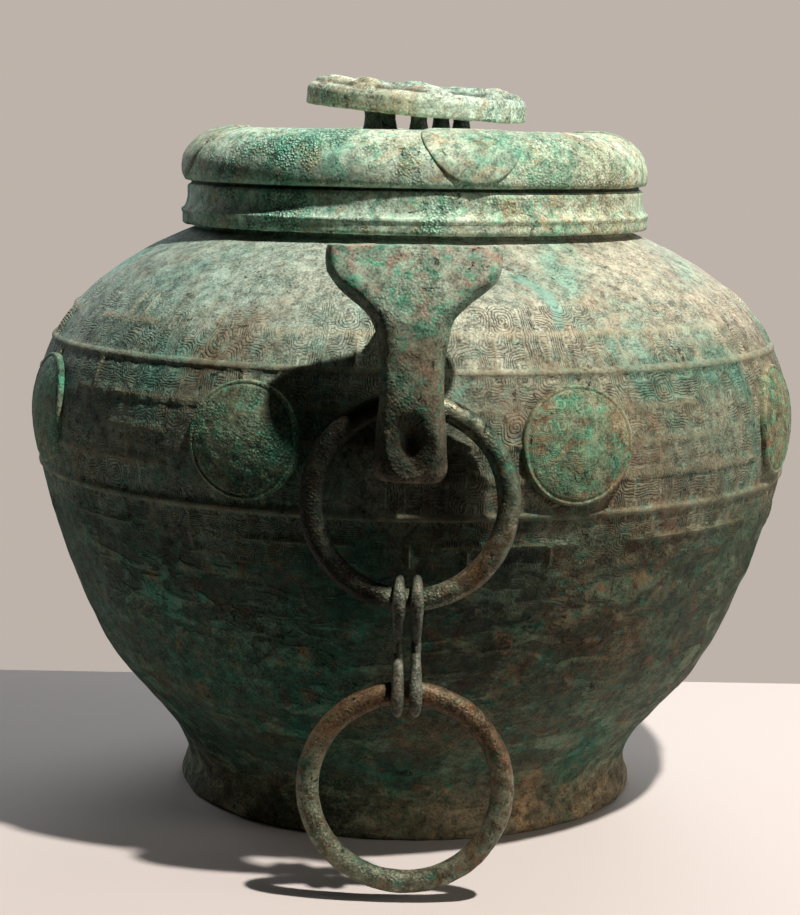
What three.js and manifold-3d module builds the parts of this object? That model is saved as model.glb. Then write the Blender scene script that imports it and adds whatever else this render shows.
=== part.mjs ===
// A bronze fou: a round-bellied wine or water jar with a ring foot and a capped lid. The lid carries a
// lumpy disc knob on short posts. Two beast-head handles each hold a chain: a ring, a pair of
// figure-eight links and a second ring. Cast roundels ornament the belly and the shoulder of the lid.
// Millimetres, +Z up, origin at the centre of the foot's underside, front handle towards -Y.
import * as THREE from 'three';
import { mergeVertices } from 'three/addons/utils/BufferGeometryUtils.js';
import Module from 'manifold-3d';

const wasm = await Module();
wasm.setup();

// Fits between pieces
const SEAT_GAP = 0.3; // between a piece and the face that it rests on
const LID_FIT = 0.8; // round the neck, inside the lid's skirt
const EYE_CLEARANCE = 1; // round a ring's bar, inside a link's eye
const RING_CLEARANCE = 1.75; // between a hanging ring's bar and the widest line of the belly
const STRAP_CLEARANCE = 5.75; // between a hanging ring's bar and the back of the handle's strap

// Vessel
const FOOT_RADIUS = 147;
const FOOT_EDGE = 6; // upright edge of the foot
const FOOT_WALL = 8;
const WAIST_RADIUS = 143;
const WAIST_HEIGHT = 19;
const FLANK_RADIUS = 195.5; // the lower belly, where its hollow curve turns into the round one
const FLANK_HEIGHT = 96;
const FLANK_LEAN = 31; // degrees from upright
const BELLY_RADIUS = 240;
const BELLY_HEIGHT = 244;
const SHOULDER_HEIGHT = 358.5; // where the shoulder meets the neck
const NECK_RADIUS = 139.5;
const NECK_HEIGHT = 26.5;
const WALL = 4.5;
const FLOOR_HEIGHT = 20; // underside of the vessel's floor
const FLOOR_THICKNESS = 6;
const RIDGE_PROUD = 1.6;
const RIDGE_HALF = 2.6; // half the height of a ridge
const RIDGE_MARGIN = 5.5; // between the roundels and the ridges above and below them

// Lid
const SKIRT_GAP = 2.5; // between the skirt's lower edge and the neck's root
const SKIRT_WALL = 7.7;
const SKIRT_BAND = 10; // height of the plain band round the skirt's lower edge
const SKIRT_BEAD = 0.7; // how far that band's upper edge stands out
const SKIRT_HOLLOW = 3.2; // how far the skirt draws in above that band
const SEAT_WIDTH = 4; // the ledge that rests on the vessel's lip
const GROOVE_HEIGHT = 3;
const GROOVE_DEPTH = 1.4;
const DOME_HEIGHT = 35.7; // from the ledge to the flat top
const DOME_EDGE = 1.4; // how far the dome's lower edge overhangs the skirt's hollow
const DOME_BULGE = 2.8; // how far the dome swells past that hollow
const DOME_ROUND = 33; // width of the dome's rounded shoulder
const LID_WALL = 5;

// Knob
const KNOB_RADIUS = 70;
const KNOB_THICKNESS = 12;
const KNOB_GAP = 13.9; // from the lid's top to the middle of the disc's underside
const KNOB_TILT_RIGHT = 4.3; // degrees: the cast disc sits a little askew on its posts
const KNOB_TILT_FRONT = 2.2;
const KNOB_HOLLOW = 3; // depth of the hollow under the disc
const KNOB_RIM = 14; // width of the flat rim round that hollow
const LUMP_COUNT = 10;
const LUMP_WIDTH = 13; // half sizes of one coil on the disc's rim
const LUMP_LENGTH = 16;
const LUMP_HEIGHT = 5;
const POST_COUNT = 5;
const POST_CIRCLE = 29.5;
const POST_RADIUS = 6;
const POST_WAIST = 5.2;
const POST_TURN = 3; // degrees from the front to the first post

// Roundels
const ROUNDEL_RADIUS = 33.5;
const ROUNDEL_PROUD = 4.2;
const ROUNDEL_LIFT = 7.5; // above the widest line of the belly
const ROUNDELS_A_SIDE = 4; // between the two handles
const LID_ROUNDEL_RADIUS = 29.5;
const LID_ROUNDEL_PROUD = 1.8;
const LID_ROUNDEL_COUNT = 4;
const LID_ROUNDEL_TURN = 14; // degrees from the front
const LID_ROUNDEL_MARGIN = 2.5; // above the dome's lower edge

// Chains
const RING_LIFT = 32.5; // the ring's bar in its handle, above the widest line of the belly
const RING_RADIUS = 53.5; // to the middle of the bar
const RING_BAR = 6.3; // radius of the bar
const LINK_PITCH = 51.5; // between the bars that a link joins
const LINK_WIRE = 6.2; // width of the metal round an eye
const LINK_THICKNESS = 6.2;
const LINK_EDGE = 1.8; // rounding of a link's edges
const LINK_GAP = 3.6; // between the two links of a pair
const LINK_WAIST = 5.2; // half width of a link in the middle
const LINK_WEB = 6.5; // half height of the solid metal between a link's eyes
const LINK_THROAT = 3.4; // radius of an eye at its inner end

// Handles, measured from the ring's bar
const HEAD_TOP = 84.5;
const HEAD_HALF_WIDTH = 47;
const HEAD_EDGE = 18; // height of the head's upright ends
const HEAD_THICKNESS = 13;
const STRAP_HALF_WIDTH = 18;
const STRAP_FACE = 14.5; // half width of the strap's front face
const STRAP_THICKNESS = 15;
const STRAP_TOP = 45.5; // where the head has narrowed to the strap
const STRAP_TOP_HALF_WIDTH = 22;
const HEAD_LEAN = 22; // how far the head's top leans back from the strap
const JAW_DROP = 40.5;
const DISH_RADIUS = 9;
const DISH_HEIGHT = 11;
const DISH_DROP = 26;
const LEG_HALF_WIDTH = 11;
const LEG_HALF_HEIGHT = 9.6;
const ROOT_HALF_WIDTH = 15;
const ROOT_HALF_HEIGHT = 11;
const ROOT_RISE = 68.5; // the root's bar inside the head, above the ring's bar
const ROOT_DROP = 40; // how far it falls on its way to the shoulder
const ROOT_REACH = 60;

// Fineness of the round shapes
const ROUND_STEPS = 40;
const CURVE_STEPS = 6;
const ROUNDEL_STEPS = 16;
const RING_STEPS = 28;
const BAR_STEPS = 8;
const LINK_STEPS = 3;
const POST_STEPS = 10;
const COIL_STEPS = 7;
const KNOB_STEPS = 32;
const HANDLE_ROWS = 15;
const OVAL_STEPS = 14;
const DISH_STEPS = 12;

// Worked out from the sizes above
const UP = new THREE.Vector3(0, 0, 1);
const FLOOR_TOP = FLOOR_HEIGHT + FLOOR_THICKNESS;
const LIP_HEIGHT = SHOULDER_HEIGHT + NECK_HEIGHT;
const ROUNDEL_HEIGHT = BELLY_HEIGHT + ROUNDEL_LIFT;
const RIDGE_REACH = ROUNDEL_RADIUS + RIDGE_MARGIN;
const RIDGE_HEIGHTS = [ROUNDEL_HEIGHT - RIDGE_REACH, ROUNDEL_HEIGHT + RIDGE_REACH];
const SKIRT_BOTTOM = SHOULDER_HEIGHT + SKIRT_GAP;
const SKIRT_INSIDE = NECK_RADIUS + LID_FIT;
const SKIRT_OUTSIDE = SKIRT_INSIDE + SKIRT_WALL;
const LID_SEAT = LIP_HEIGHT + SEAT_GAP;
const LID_TOP = LID_SEAT + DOME_HEIGHT;
const SKIRT_WAIST = SKIRT_OUTSIDE - SKIRT_HOLLOW;
const DOME_RADIUS = SKIRT_WAIST + DOME_BULGE;
const RING_OUT = BELLY_RADIUS + RING_CLEARANCE + RING_BAR;
const RING_HEIGHT = BELLY_HEIGHT + RING_LIFT;
const LINK_HEIGHT = RING_HEIGHT - 2 * RING_RADIUS;
const LOWER_RING_HEIGHT = LINK_HEIGHT - LINK_PITCH;
const LINK_EYE = RING_BAR + EYE_CLEARANCE;
const STRAP_OUT = RING_OUT + RING_BAR + STRAP_CLEARANCE;

const radians = THREE.MathUtils.degToRad;

// Joins a geometry's shared corners and drops the slivers that fall on its axis.
function weld(geometry) {
  geometry.deleteAttribute('normal');
  geometry.deleteAttribute('uv');
  const welded = mergeVertices(geometry, 1e-4);
  const kept = [];
  const index = welded.index.array;
  for (let i = 0; i < index.length; i += 3) {
    const [a, b, c] = [index[i], index[i + 1], index[i + 2]];
    if (a !== b && b !== c && c !== a) kept.push(a, b, c);
  }
  welded.setIndex(kept);
  return welded;
}

function toSolid(geometry) {
  const welded = weld(geometry);
  const vertProperties = Float32Array.from(welded.attributes.position.array);
  const triVerts = Uint32Array.from(welded.index.array);
  return new wasm.Manifold(new wasm.Mesh({ numProp: 3, vertProperties, triVerts }));
}

function toGeometry(solid) {
  const mesh = solid.getMesh();
  const geometry = new THREE.BufferGeometry();
  geometry.setAttribute('position', new THREE.BufferAttribute(mesh.vertProperties, 3));
  geometry.setIndex(new THREE.BufferAttribute(mesh.triVerts, 1));
  return geometry;
}

// Turns a closed outline of (radius, height) points round the Z axis.
function revolve(outline, steps) {
  const geometry = new THREE.LatheGeometry(outline, steps);
  geometry.rotateX(Math.PI / 2);
  return weld(geometry);
}

// Moves an outline sideways by a distance, outwards from the axis where that is positive.
function offsetOutline(points, distance) {
  return points.map((point, i) => {
    const before = points[Math.max(i - 1, 0)];
    const after = points[Math.min(i + 1, points.length - 1)];
    const along = after.clone().sub(before).normalize();
    return new THREE.Vector2(point.x + along.y * distance, point.y - along.x * distance);
  });
}

// The outside of the wall from the waist to the neck's root, as radius and height.
function wallPath() {
  const lean = Math.tan(radians(FLANK_LEAN));
  const hollowRise = 0.28 * (FLANK_HEIGHT - WAIST_HEIGHT);
  const flankFall = 0.39 * (FLANK_HEIGHT - WAIST_HEIGHT);
  const flankRise = 0.14 * (BELLY_HEIGHT - FLANK_HEIGHT);
  const bellyFall = 0.34 * (BELLY_HEIGHT - FLANK_HEIGHT);
  const bellyRise = 0.45 * (SHOULDER_HEIGHT - BELLY_HEIGHT);
  const shoulderFall = 0.2 * (SHOULDER_HEIGHT - BELLY_HEIGHT);
  const shoulderOut = 0.6 * (BELLY_RADIUS - NECK_RADIUS);
  const path = new THREE.Path();
  path.moveTo(WAIST_RADIUS, WAIST_HEIGHT);
  path.bezierCurveTo(
    WAIST_RADIUS, WAIST_HEIGHT + hollowRise,
    FLANK_RADIUS - lean * flankFall, FLANK_HEIGHT - flankFall,
    FLANK_RADIUS, FLANK_HEIGHT,
  );
  path.bezierCurveTo(
    FLANK_RADIUS + lean * flankRise, FLANK_HEIGHT + flankRise,
    BELLY_RADIUS, BELLY_HEIGHT - bellyFall,
    BELLY_RADIUS, BELLY_HEIGHT,
  );
  path.bezierCurveTo(
    BELLY_RADIUS, BELLY_HEIGHT + bellyRise,
    NECK_RADIUS + shoulderOut, SHOULDER_HEIGHT - shoulderFall,
    NECK_RADIUS, SHOULDER_HEIGHT,
  );
  return path;
}

// How far along a path that only climbs a height is reached.
function arcAtHeight(path, height) {
  let low = 0;
  let high = 1;
  for (let i = 0; i < 40; i += 1) {
    const middle = (low + high) / 2;
    if (path.getPoint(middle).y < height) low = middle;
    else high = middle;
  }
  return low * path.getLength();
}

// The outside of the wall with a ridge above and below the roundels.
function ridgedWall(path) {
  const isClear = (point) => RIDGE_HEIGHTS.every((h) => Math.abs(point.y - h) > 1.5 * RIDGE_HALF);
  const points = path.getPoints(CURVE_STEPS).filter(isClear);
  const length = path.getLength();
  for (const height of RIDGE_HEIGHTS) {
    for (const side of [-1, 0, 1]) {
      const point = path.getPoint(arcAtHeight(path, height + side * RIDGE_HALF) / length);
      if (side === 0) point.x += RIDGE_PROUD;
      points.push(point);
    }
  }
  return points.sort((a, b) => a.y - b.y);
}

function vesselGeometry() {
  const path = wallPath();
  const outside = [
    new THREE.Vector2(FOOT_RADIUS, 0),
    new THREE.Vector2(FOOT_RADIUS, FOOT_EDGE),
    ...ridgedWall(path),
    new THREE.Vector2(NECK_RADIUS, LIP_HEIGHT),
  ];
  const wall = offsetOutline(path.getPoints(CURVE_STEPS - 2), -WALL);
  const floorRadius = wall[0].x;
  const inside = [
    new THREE.Vector2(NECK_RADIUS - WALL, LIP_HEIGHT),
    ...wall.filter((point) => point.y > FLOOR_TOP + WALL && point.x > NECK_RADIUS - WALL).reverse(),
    new THREE.Vector2(floorRadius, FLOOR_TOP),
    new THREE.Vector2(0, FLOOR_TOP),
  ];
  const recess = [
    new THREE.Vector2(0, FLOOR_HEIGHT),
    new THREE.Vector2(WAIST_RADIUS - FOOT_WALL, FLOOR_HEIGHT),
    new THREE.Vector2(FOOT_RADIUS - FOOT_WALL, 0),
  ];
  return revolve([...recess, ...outside, ...inside], ROUND_STEPS);
}

// The space that the vessel fills, with the gap that a piece on its wall keeps.
function vesselEnvelope() {
  const wall = offsetOutline(ridgedWall(wallPath()), SEAT_GAP);
  const outline = [
    new THREE.Vector2(0, WAIST_HEIGHT),
    ...wall,
    new THREE.Vector2(0, SHOULDER_HEIGHT),
  ];
  return toSolid(revolve(outline, ROUND_STEPS));
}

// The outside of the lid's dome, from its lower edge over the shoulder to the middle of the top.
function domePath() {
  const path = new THREE.Path();
  const base = LID_SEAT + GROOVE_HEIGHT;
  const widest = base + 0.2 * DOME_HEIGHT;
  path.moveTo(SKIRT_WAIST + DOME_EDGE, base);
  path.quadraticCurveTo(DOME_RADIUS, base, DOME_RADIUS, widest);
  path.bezierCurveTo(
    DOME_RADIUS, widest + 0.55 * (LID_TOP - widest),
    DOME_RADIUS - 0.4 * DOME_ROUND, LID_TOP,
    DOME_RADIUS - DOME_ROUND, LID_TOP,
  );
  path.lineTo(0, LID_TOP);
  return path;
}

// The space that the dome fills, with the gap that a piece on it keeps.
function domeEnvelope(path) {
  const dome = offsetOutline(path.getPoints(CURVE_STEPS), SEAT_GAP);
  const outline = [new THREE.Vector2(0, LID_SEAT), ...dome];
  return toSolid(revolve(outline, ROUND_STEPS));
}

function lidGeometry() {
  const grooveBottom = SKIRT_WAIST - GROOVE_DEPTH;
  const skirt = [
    new THREE.Vector2(SKIRT_INSIDE, SKIRT_BOTTOM),
    new THREE.Vector2(SKIRT_OUTSIDE, SKIRT_BOTTOM),
    new THREE.Vector2(SKIRT_OUTSIDE, SKIRT_BOTTOM + 0.7 * SKIRT_BAND),
    new THREE.Vector2(SKIRT_OUTSIDE + SKIRT_BEAD, SKIRT_BOTTOM + 0.85 * SKIRT_BAND),
    new THREE.Vector2(SKIRT_OUTSIDE - SKIRT_HOLLOW / 2, SKIRT_BOTTOM + 1.1 * SKIRT_BAND),
    new THREE.Vector2(SKIRT_WAIST, SKIRT_BOTTOM + 1.6 * SKIRT_BAND),
    new THREE.Vector2(SKIRT_WAIST, LID_SEAT),
    new THREE.Vector2(grooveBottom, LID_SEAT + GROOVE_HEIGHT / 3),
    new THREE.Vector2(grooveBottom, LID_SEAT + (2 * GROOVE_HEIGHT) / 3),
  ];
  const ledge = NECK_RADIUS - SEAT_WIDTH;
  const ceiling = new THREE.Path();
  ceiling.moveTo(0, LID_TOP - LID_WALL);
  ceiling.lineTo(ledge - DOME_ROUND, LID_TOP - LID_WALL);
  ceiling.quadraticCurveTo(ledge, LID_TOP - LID_WALL, ledge, LID_SEAT + 0.35 * DOME_HEIGHT);
  ceiling.lineTo(ledge, LID_SEAT);
  ceiling.lineTo(SKIRT_INSIDE, LID_SEAT);
  ceiling.lineTo(SKIRT_INSIDE, SKIRT_BOTTOM);
  const dome = domePath().getPoints(CURVE_STEPS);
  return revolve([...skirt, ...dome, ...ceiling.getPoints(CURVE_STEPS - 2)], ROUND_STEPS);
}

// Lays a flat disc on a turned wall: its own axis follows the wall's normal at each point.
function layOnWall(geometry, path, arc, azimuth) {
  const position = geometry.attributes.position;
  const length = path.getLength();
  for (let i = 0; i < position.count; i += 1) {
    const along = (arc + position.getY(i)) / length;
    const point = path.getPoint(along);
    const tangent = path.getTangent(along);
    const radius = point.x + tangent.y * position.getZ(i);
    const height = point.y - tangent.x * position.getZ(i);
    const angle = azimuth + position.getX(i) / point.x;
    position.setXYZ(i, radius * Math.sin(angle), -radius * Math.cos(angle), height);
  }
  return geometry;
}

// A cast roundel: a low disc with a raised rim, a groove inside it and a shallow crown. Its back is
// sunk and then cut to the wall that it sits on.
function roundelGeometry(radius, proud, path, arc, azimuth, envelope) {
  const outline = [
    new THREE.Vector2(0, -proud),
    new THREE.Vector2(radius, -proud),
    new THREE.Vector2(radius, 0.55 * proud),
    new THREE.Vector2(0.96 * radius, 0.95 * proud),
    new THREE.Vector2(0.91 * radius, 0.65 * proud),
    new THREE.Vector2(radius / 2, 0.9 * proud),
    new THREE.Vector2(0, proud),
  ];
  const disc = layOnWall(revolve(outline, ROUNDEL_STEPS), path, arc, azimuth);
  return toGeometry(toSolid(disc).subtract(envelope));
}

// The height of the askew disc's underside over a point of the lid.
function undersideHeight(x, y) {
  const slopeRight = Math.tan(radians(KNOB_TILT_RIGHT));
  const slopeFront = Math.tan(radians(KNOB_TILT_FRONT));
  return LID_TOP + KNOB_GAP - slopeRight * x + slopeFront * y;
}

// The knob's disc: a shallow hollow under it, a rounded side and a wreath of coils on its rim.
function knobGeometry() {
  const inner = KNOB_RADIUS - KNOB_RIM;
  const dip = KNOB_HOLLOW;
  const outline = [
    new THREE.Vector2(0, 0),
    new THREE.Vector2(POST_CIRCLE + 2 * POST_RADIUS, 0),
    new THREE.Vector2(inner, -dip),
    new THREE.Vector2(0.96 * KNOB_RADIUS, -dip),
    new THREE.Vector2(KNOB_RADIUS, 0),
    new THREE.Vector2(0.99 * KNOB_RADIUS, 0.55 * KNOB_THICKNESS),
    new THREE.Vector2(0.92 * KNOB_RADIUS, 0.9 * KNOB_THICKNESS),
    new THREE.Vector2(inner, KNOB_THICKNESS),
    new THREE.Vector2(0.4 * inner, KNOB_THICKNESS - dip),
    new THREE.Vector2(0, KNOB_THICKNESS - dip),
  ];
  let disc = toSolid(revolve(outline, KNOB_STEPS));
  for (let i = 0; i < LUMP_COUNT; i += 1) {
    const coil = new THREE.SphereGeometry(1, COIL_STEPS, COIL_STEPS - 2);
    coil.scale(LUMP_WIDTH, LUMP_LENGTH, LUMP_HEIGHT);
    coil.rotateZ(radians(35));
    coil.translate(KNOB_RADIUS - 1.25 * LUMP_LENGTH, 0, KNOB_THICKNESS - 0.25 * LUMP_HEIGHT);
    coil.rotateZ(((i + 0.5) * 2 * Math.PI) / LUMP_COUNT);
    disc = disc.add(toSolid(coil));
  }
  return toGeometry(disc);
}

// A short post with a slight waist, standing on the lid and cut to the slope of the disc above it.
function postGeometry(x, y) {
  const outline = [
    new THREE.Vector2(0, 0),
    new THREE.Vector2(POST_RADIUS, 0),
    new THREE.Vector2(POST_WAIST, 1 / 2),
    new THREE.Vector2(POST_RADIUS, 1),
    new THREE.Vector2(0, 1),
  ];
  const geometry = revolve(outline, POST_STEPS);
  const position = geometry.attributes.position;
  const foot = LID_TOP + SEAT_GAP;
  for (let i = 0; i < position.count; i += 1) {
    const [px, py] = [position.getX(i) + x, position.getY(i) + y];
    const top = undersideHeight(px, py) - SEAT_GAP;
    position.setXYZ(i, px, py, foot + (top - foot) * position.getZ(i));
  }
  return geometry;
}

function ringGeometry(height) {
  const ring = new THREE.TorusGeometry(RING_RADIUS, RING_BAR, BAR_STEPS, RING_STEPS);
  ring.rotateX(Math.PI / 2);
  ring.rotateY(Math.PI / 2);
  ring.translate(0, -RING_OUT, height - RING_RADIUS);
  return weld(ring);
}

// A link's eye: round where it bears on the ring, narrower towards the link's middle.
function linkEye(side) {
  const bearing = (side * LINK_PITCH) / 2;
  const inner = side * (LINK_WEB + LINK_THROAT);
  const start = side > 0 ? 0 : Math.PI;
  const eye = new THREE.Path();
  eye.absarc(0, bearing, LINK_EYE, start, start + Math.PI, false);
  eye.absarc(0, inner, LINK_THROAT, start + Math.PI, start + 2 * Math.PI, false);
  return eye;
}

// A figure-eight link, drawn flat and set on edge so that its eyes face sideways.
function linkGeometry(x) {
  const end = LINK_PITCH / 2;
  const radius = LINK_EYE + LINK_WIRE;
  const shape = new THREE.Shape();
  shape.absarc(0, end, radius, 0, Math.PI, false);
  shape.bezierCurveTo(-radius, end / 2, -LINK_WAIST, end / 4, -LINK_WAIST, 0);
  shape.bezierCurveTo(-LINK_WAIST, -end / 4, -radius, -end / 2, -radius, -end);
  shape.absarc(0, -end, radius, Math.PI, 2 * Math.PI, false);
  shape.bezierCurveTo(radius, -end / 2, LINK_WAIST, -end / 4, LINK_WAIST, 0);
  shape.bezierCurveTo(LINK_WAIST, end / 4, radius, end / 2, radius, end);
  shape.holes.push(linkEye(1), linkEye(-1));
  const geometry = new THREE.ExtrudeGeometry(shape, {
    depth: LINK_THICKNESS - 2 * LINK_EDGE,
    bevelThickness: LINK_EDGE,
    bevelSize: LINK_EDGE,
    bevelOffset: -LINK_EDGE,
    bevelSegments: 1,
    curveSegments: LINK_STEPS,
  });
  geometry.translate(0, 0, LINK_EDGE - LINK_THICKNESS / 2);
  geometry.rotateX(Math.PI / 2);
  geometry.rotateZ(Math.PI / 2);
  geometry.translate(x, -RING_OUT, LINK_HEIGHT - end);
  return weld(geometry);
}

// Skins a row of equal closed sections and closes its ends.
function loft(rows) {
  const points = rows.flat();
  const size = rows[0].length;
  const index = [];
  for (let row = 0; row + 1 < rows.length; row += 1) {
    for (let i = 0; i < size; i += 1) {
      const a = row * size + i;
      const b = row * size + ((i + 1) % size);
      index.push(a, a + size, b, b, a + size, b + size);
    }
  }
  const last = (rows.length - 1) * size;
  for (let i = 1; i + 1 < size; i += 1) {
    index.push(0, i, i + 1);
    index.push(last, last + i + 1, last + i);
  }
  const geometry = new THREE.BufferGeometry().setFromPoints(points);
  geometry.setIndex(index);
  return geometry;
}

// An oval bar from one point to another in the handle's plane, given as distance out and height.
function ovalBar(from, to, halfWidth, halfHeight) {
  const start = new THREE.Vector3(0, -from.x, from.y);
  const along = new THREE.Vector3(0, -to.x, to.y).sub(start);
  const bar = new THREE.CylinderGeometry(1, 1, along.length(), OVAL_STEPS);
  bar.rotateX(Math.PI / 2);
  bar.scale(halfWidth, halfHeight, 1);
  bar.translate(0, 0, along.length() / 2);
  bar.applyQuaternion(new THREE.Quaternion().setFromUnitVectors(UP, along.clone().normalize()));
  bar.translate(start.x, start.y, start.z);
  return toSolid(bar);
}

// A curve of sizes against the height over the ring's bar, from the jaw up to the head's top.
function sizeCurve(...pairs) {
  const curve = new THREE.SplineCurve(pairs.map(([height, size]) => new THREE.Vector2(size, height)));
  const points = curve.getPoints(80);
  return (height) => {
    const i = Math.max(points.findIndex((point) => point.y >= height - 1e-6), 1);
    const share = (height - points[i - 1].y) / (points[i].y - points[i - 1].y);
    return points[i - 1].x + (points[i].x - points[i - 1].x) * Math.min(share, 1);
  };
}

// The beast head: a broad brow narrowing to a strap, with flanks that widen towards the back, and a
// dished jaw under the strap's end.
function headGeometry() {
  const edge = HEAD_TOP - HEAD_EDGE;
  const halfWidth = sizeCurve(
    [-JAW_DROP, 0.62 * STRAP_HALF_WIDTH],
    [0.15 * JAW_DROP - JAW_DROP, STRAP_HALF_WIDTH],
    [0, STRAP_HALF_WIDTH],
    [STRAP_TOP, STRAP_TOP_HALF_WIDTH],
    [edge, 0.97 * HEAD_HALF_WIDTH],
    [HEAD_TOP - HEAD_EDGE / 3, HEAD_HALF_WIDTH],
    [HEAD_TOP, 0.93 * HEAD_HALF_WIDTH],
  );
  const faceWidth = sizeCurve(
    [-JAW_DROP, 0.5 * STRAP_FACE],
    [0.15 * JAW_DROP - JAW_DROP, STRAP_FACE],
    [STRAP_TOP, 1.05 * STRAP_FACE],
    [edge, 0.78 * HEAD_HALF_WIDTH],
    [HEAD_TOP, 0.88 * HEAD_HALF_WIDTH],
  );
  const back = sizeCurve(
    [-JAW_DROP, STRAP_OUT + 1],
    [0, STRAP_OUT],
    [STRAP_TOP, STRAP_OUT - 0.35 * HEAD_LEAN],
    [HEAD_TOP, STRAP_OUT - HEAD_LEAN],
  );
  const thickness = sizeCurve(
    [-JAW_DROP, 0.6 * STRAP_THICKNESS],
    [0.2 * JAW_DROP - JAW_DROP, 0.83 * STRAP_THICKNESS],
    [0, STRAP_THICKNESS],
    [STRAP_TOP, 1.1 * STRAP_THICKNESS],
    [HEAD_TOP, HEAD_THICKNESS],
  );
  const rows = [];
  for (let i = 0; i < HANDLE_ROWS; i += 1) {
    const height = -JAW_DROP + ((HEAD_TOP + JAW_DROP) * i) / (HANDLE_ROWS - 1);
    const [wide, face] = [halfWidth(height), faceWidth(height)];
    const [out, thick] = [back(height), thickness(height)];
    const section = [
      [-0.88 * wide, 0], [0.88 * wide, 0], [wide, 0.3], [face, 0.85],
      [0.45 * face, 1], [-0.45 * face, 1], [-face, 0.85], [-wide, 0.3],
    ];
    const place = ([x, share]) => new THREE.Vector3(x, -out - share * thick, RING_HEIGHT + height);
    rows.push(section.map(place));
  }
  return loft(rows);
}

function handleGeometry(envelope) {
  const legHeight = RING_HEIGHT - RING_BAR - SEAT_GAP - LEG_HALF_HEIGHT;
  const legStart = new THREE.Vector2(STRAP_OUT + STRAP_THICKNESS / 3, legHeight);
  const legEnd = new THREE.Vector2(BELLY_RADIUS - LEG_HALF_WIDTH, legHeight);
  const rootStart = new THREE.Vector2(STRAP_OUT - HEAD_LEAN / 3, RING_HEIGHT + ROOT_RISE);
  const rootEnd = new THREE.Vector2(rootStart.x - ROOT_REACH, rootStart.y - ROOT_DROP);
  const dish = new THREE.SphereGeometry(1, DISH_STEPS, DISH_STEPS - 4);
  dish.scale(DISH_RADIUS, DISH_RADIUS, DISH_HEIGHT);
  dish.translate(0, -STRAP_OUT - STRAP_THICKNESS - DISH_RADIUS / 3, RING_HEIGHT - DISH_DROP);
  const handle = toSolid(headGeometry())
    .add(ovalBar(rootStart, rootEnd, ROOT_HALF_WIDTH, ROOT_HALF_HEIGHT))
    .add(ovalBar(legStart, legEnd, LEG_HALF_WIDTH, LEG_HALF_HEIGHT))
    .subtract(toSolid(dish))
    .subtract(envelope);
  return toGeometry(handle);
}

// Bronze under its green and brown crusts
function bronze(colour) {
  return new THREE.MeshStandardMaterial({ color: colour, roughness: 0.75, metalness: 0.35 });
}

function piece(name, geometry, colour) {
  const mesh = new THREE.Mesh(geometry, bronze(colour));
  mesh.name = name;
  return mesh;
}

function vesselPieces(envelope) {
  const group = new THREE.Group();
  group.add(piece('vessel_body', vesselGeometry(), 0x6f8076));
  const path = wallPath();
  const arc = arcAtHeight(path, ROUNDEL_HEIGHT);
  for (let i = 0; i < 2 * ROUNDELS_A_SIDE; i += 1) {
    const azimuth = ((i + 0.5) * Math.PI) / ROUNDELS_A_SIDE;
    const roundel = roundelGeometry(ROUNDEL_RADIUS, ROUNDEL_PROUD, path, arc, azimuth, envelope);
    group.add(piece(`belly_roundel_${i + 1}`, roundel, 0x7c8c80));
  }
  return group;
}

function lidPieces() {
  const group = new THREE.Group();
  group.add(piece('lid', lidGeometry(), 0xa9b5a4));
  const path = domePath();
  const envelope = domeEnvelope(path);
  const arc = LID_ROUNDEL_MARGIN + LID_ROUNDEL_RADIUS;
  for (let i = 0; i < LID_ROUNDEL_COUNT; i += 1) {
    const azimuth = radians(LID_ROUNDEL_TURN) + (i * 2 * Math.PI) / LID_ROUNDEL_COUNT;
    const [radius, proud] = [LID_ROUNDEL_RADIUS, LID_ROUNDEL_PROUD];
    const roundel = roundelGeometry(radius, proud, path, arc, azimuth, envelope);
    group.add(piece(`lid_roundel_${i + 1}`, roundel, 0xa3b0a0));
  }
  for (let i = 0; i < POST_COUNT; i += 1) {
    const turn = radians(POST_TURN) + (i * 2 * Math.PI) / POST_COUNT;
    const post = postGeometry(POST_CIRCLE * Math.sin(turn), -POST_CIRCLE * Math.cos(turn));
    group.add(piece(`knob_post_${i + 1}`, post, 0x5d6a60));
  }
  const knob = piece('knob_disc', knobGeometry(), 0x9caa9a);
  knob.position.z = LID_TOP + KNOB_GAP;
  knob.rotation.set(radians(KNOB_TILT_FRONT), radians(KNOB_TILT_RIGHT), 0);
  group.add(knob);
  return group;
}

// One handle with its chain; the back one is the front one turned half round.
function chainPieces(side, turn, envelope) {
  const group = new THREE.Group();
  const linkOffset = (LINK_THICKNESS + LINK_GAP) / 2;
  group.add(piece(`handle_${side}`, handleGeometry(envelope), 0x7f9486));
  group.add(piece(`upper_ring_${side}`, ringGeometry(RING_HEIGHT), 0x8b8f7c));
  group.add(piece(`link_left_${side}`, linkGeometry(-linkOffset), 0x8d8a78));
  group.add(piece(`link_right_${side}`, linkGeometry(linkOffset), 0x8d8a78));
  group.add(piece(`lower_ring_${side}`, ringGeometry(LOWER_RING_HEIGHT), 0x857f69));
  group.rotation.z = turn;
  return group;
}

const fou = new THREE.Group();
const envelope = vesselEnvelope();
fou.add(vesselPieces(envelope));
fou.add(lidPieces());
fou.add(chainPieces('front', 0, envelope));
fou.add(chainPieces('back', Math.PI, envelope));

export default fou;
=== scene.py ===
# %% [markdown]
# # A bronze fou with chained rings
# The construction comes ready made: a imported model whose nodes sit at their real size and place. This lesson
# dresses it. Each cast piece is modelled again with the fine surface that the construction leaves out, and
# gets a finish of crusts, grooves and rubbed edges. Everything is in metres, with the foot on the floor.

# %% Load the construction
import math

import bpy
import numpy as np
from mathutils import Matrix, Vector


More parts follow.
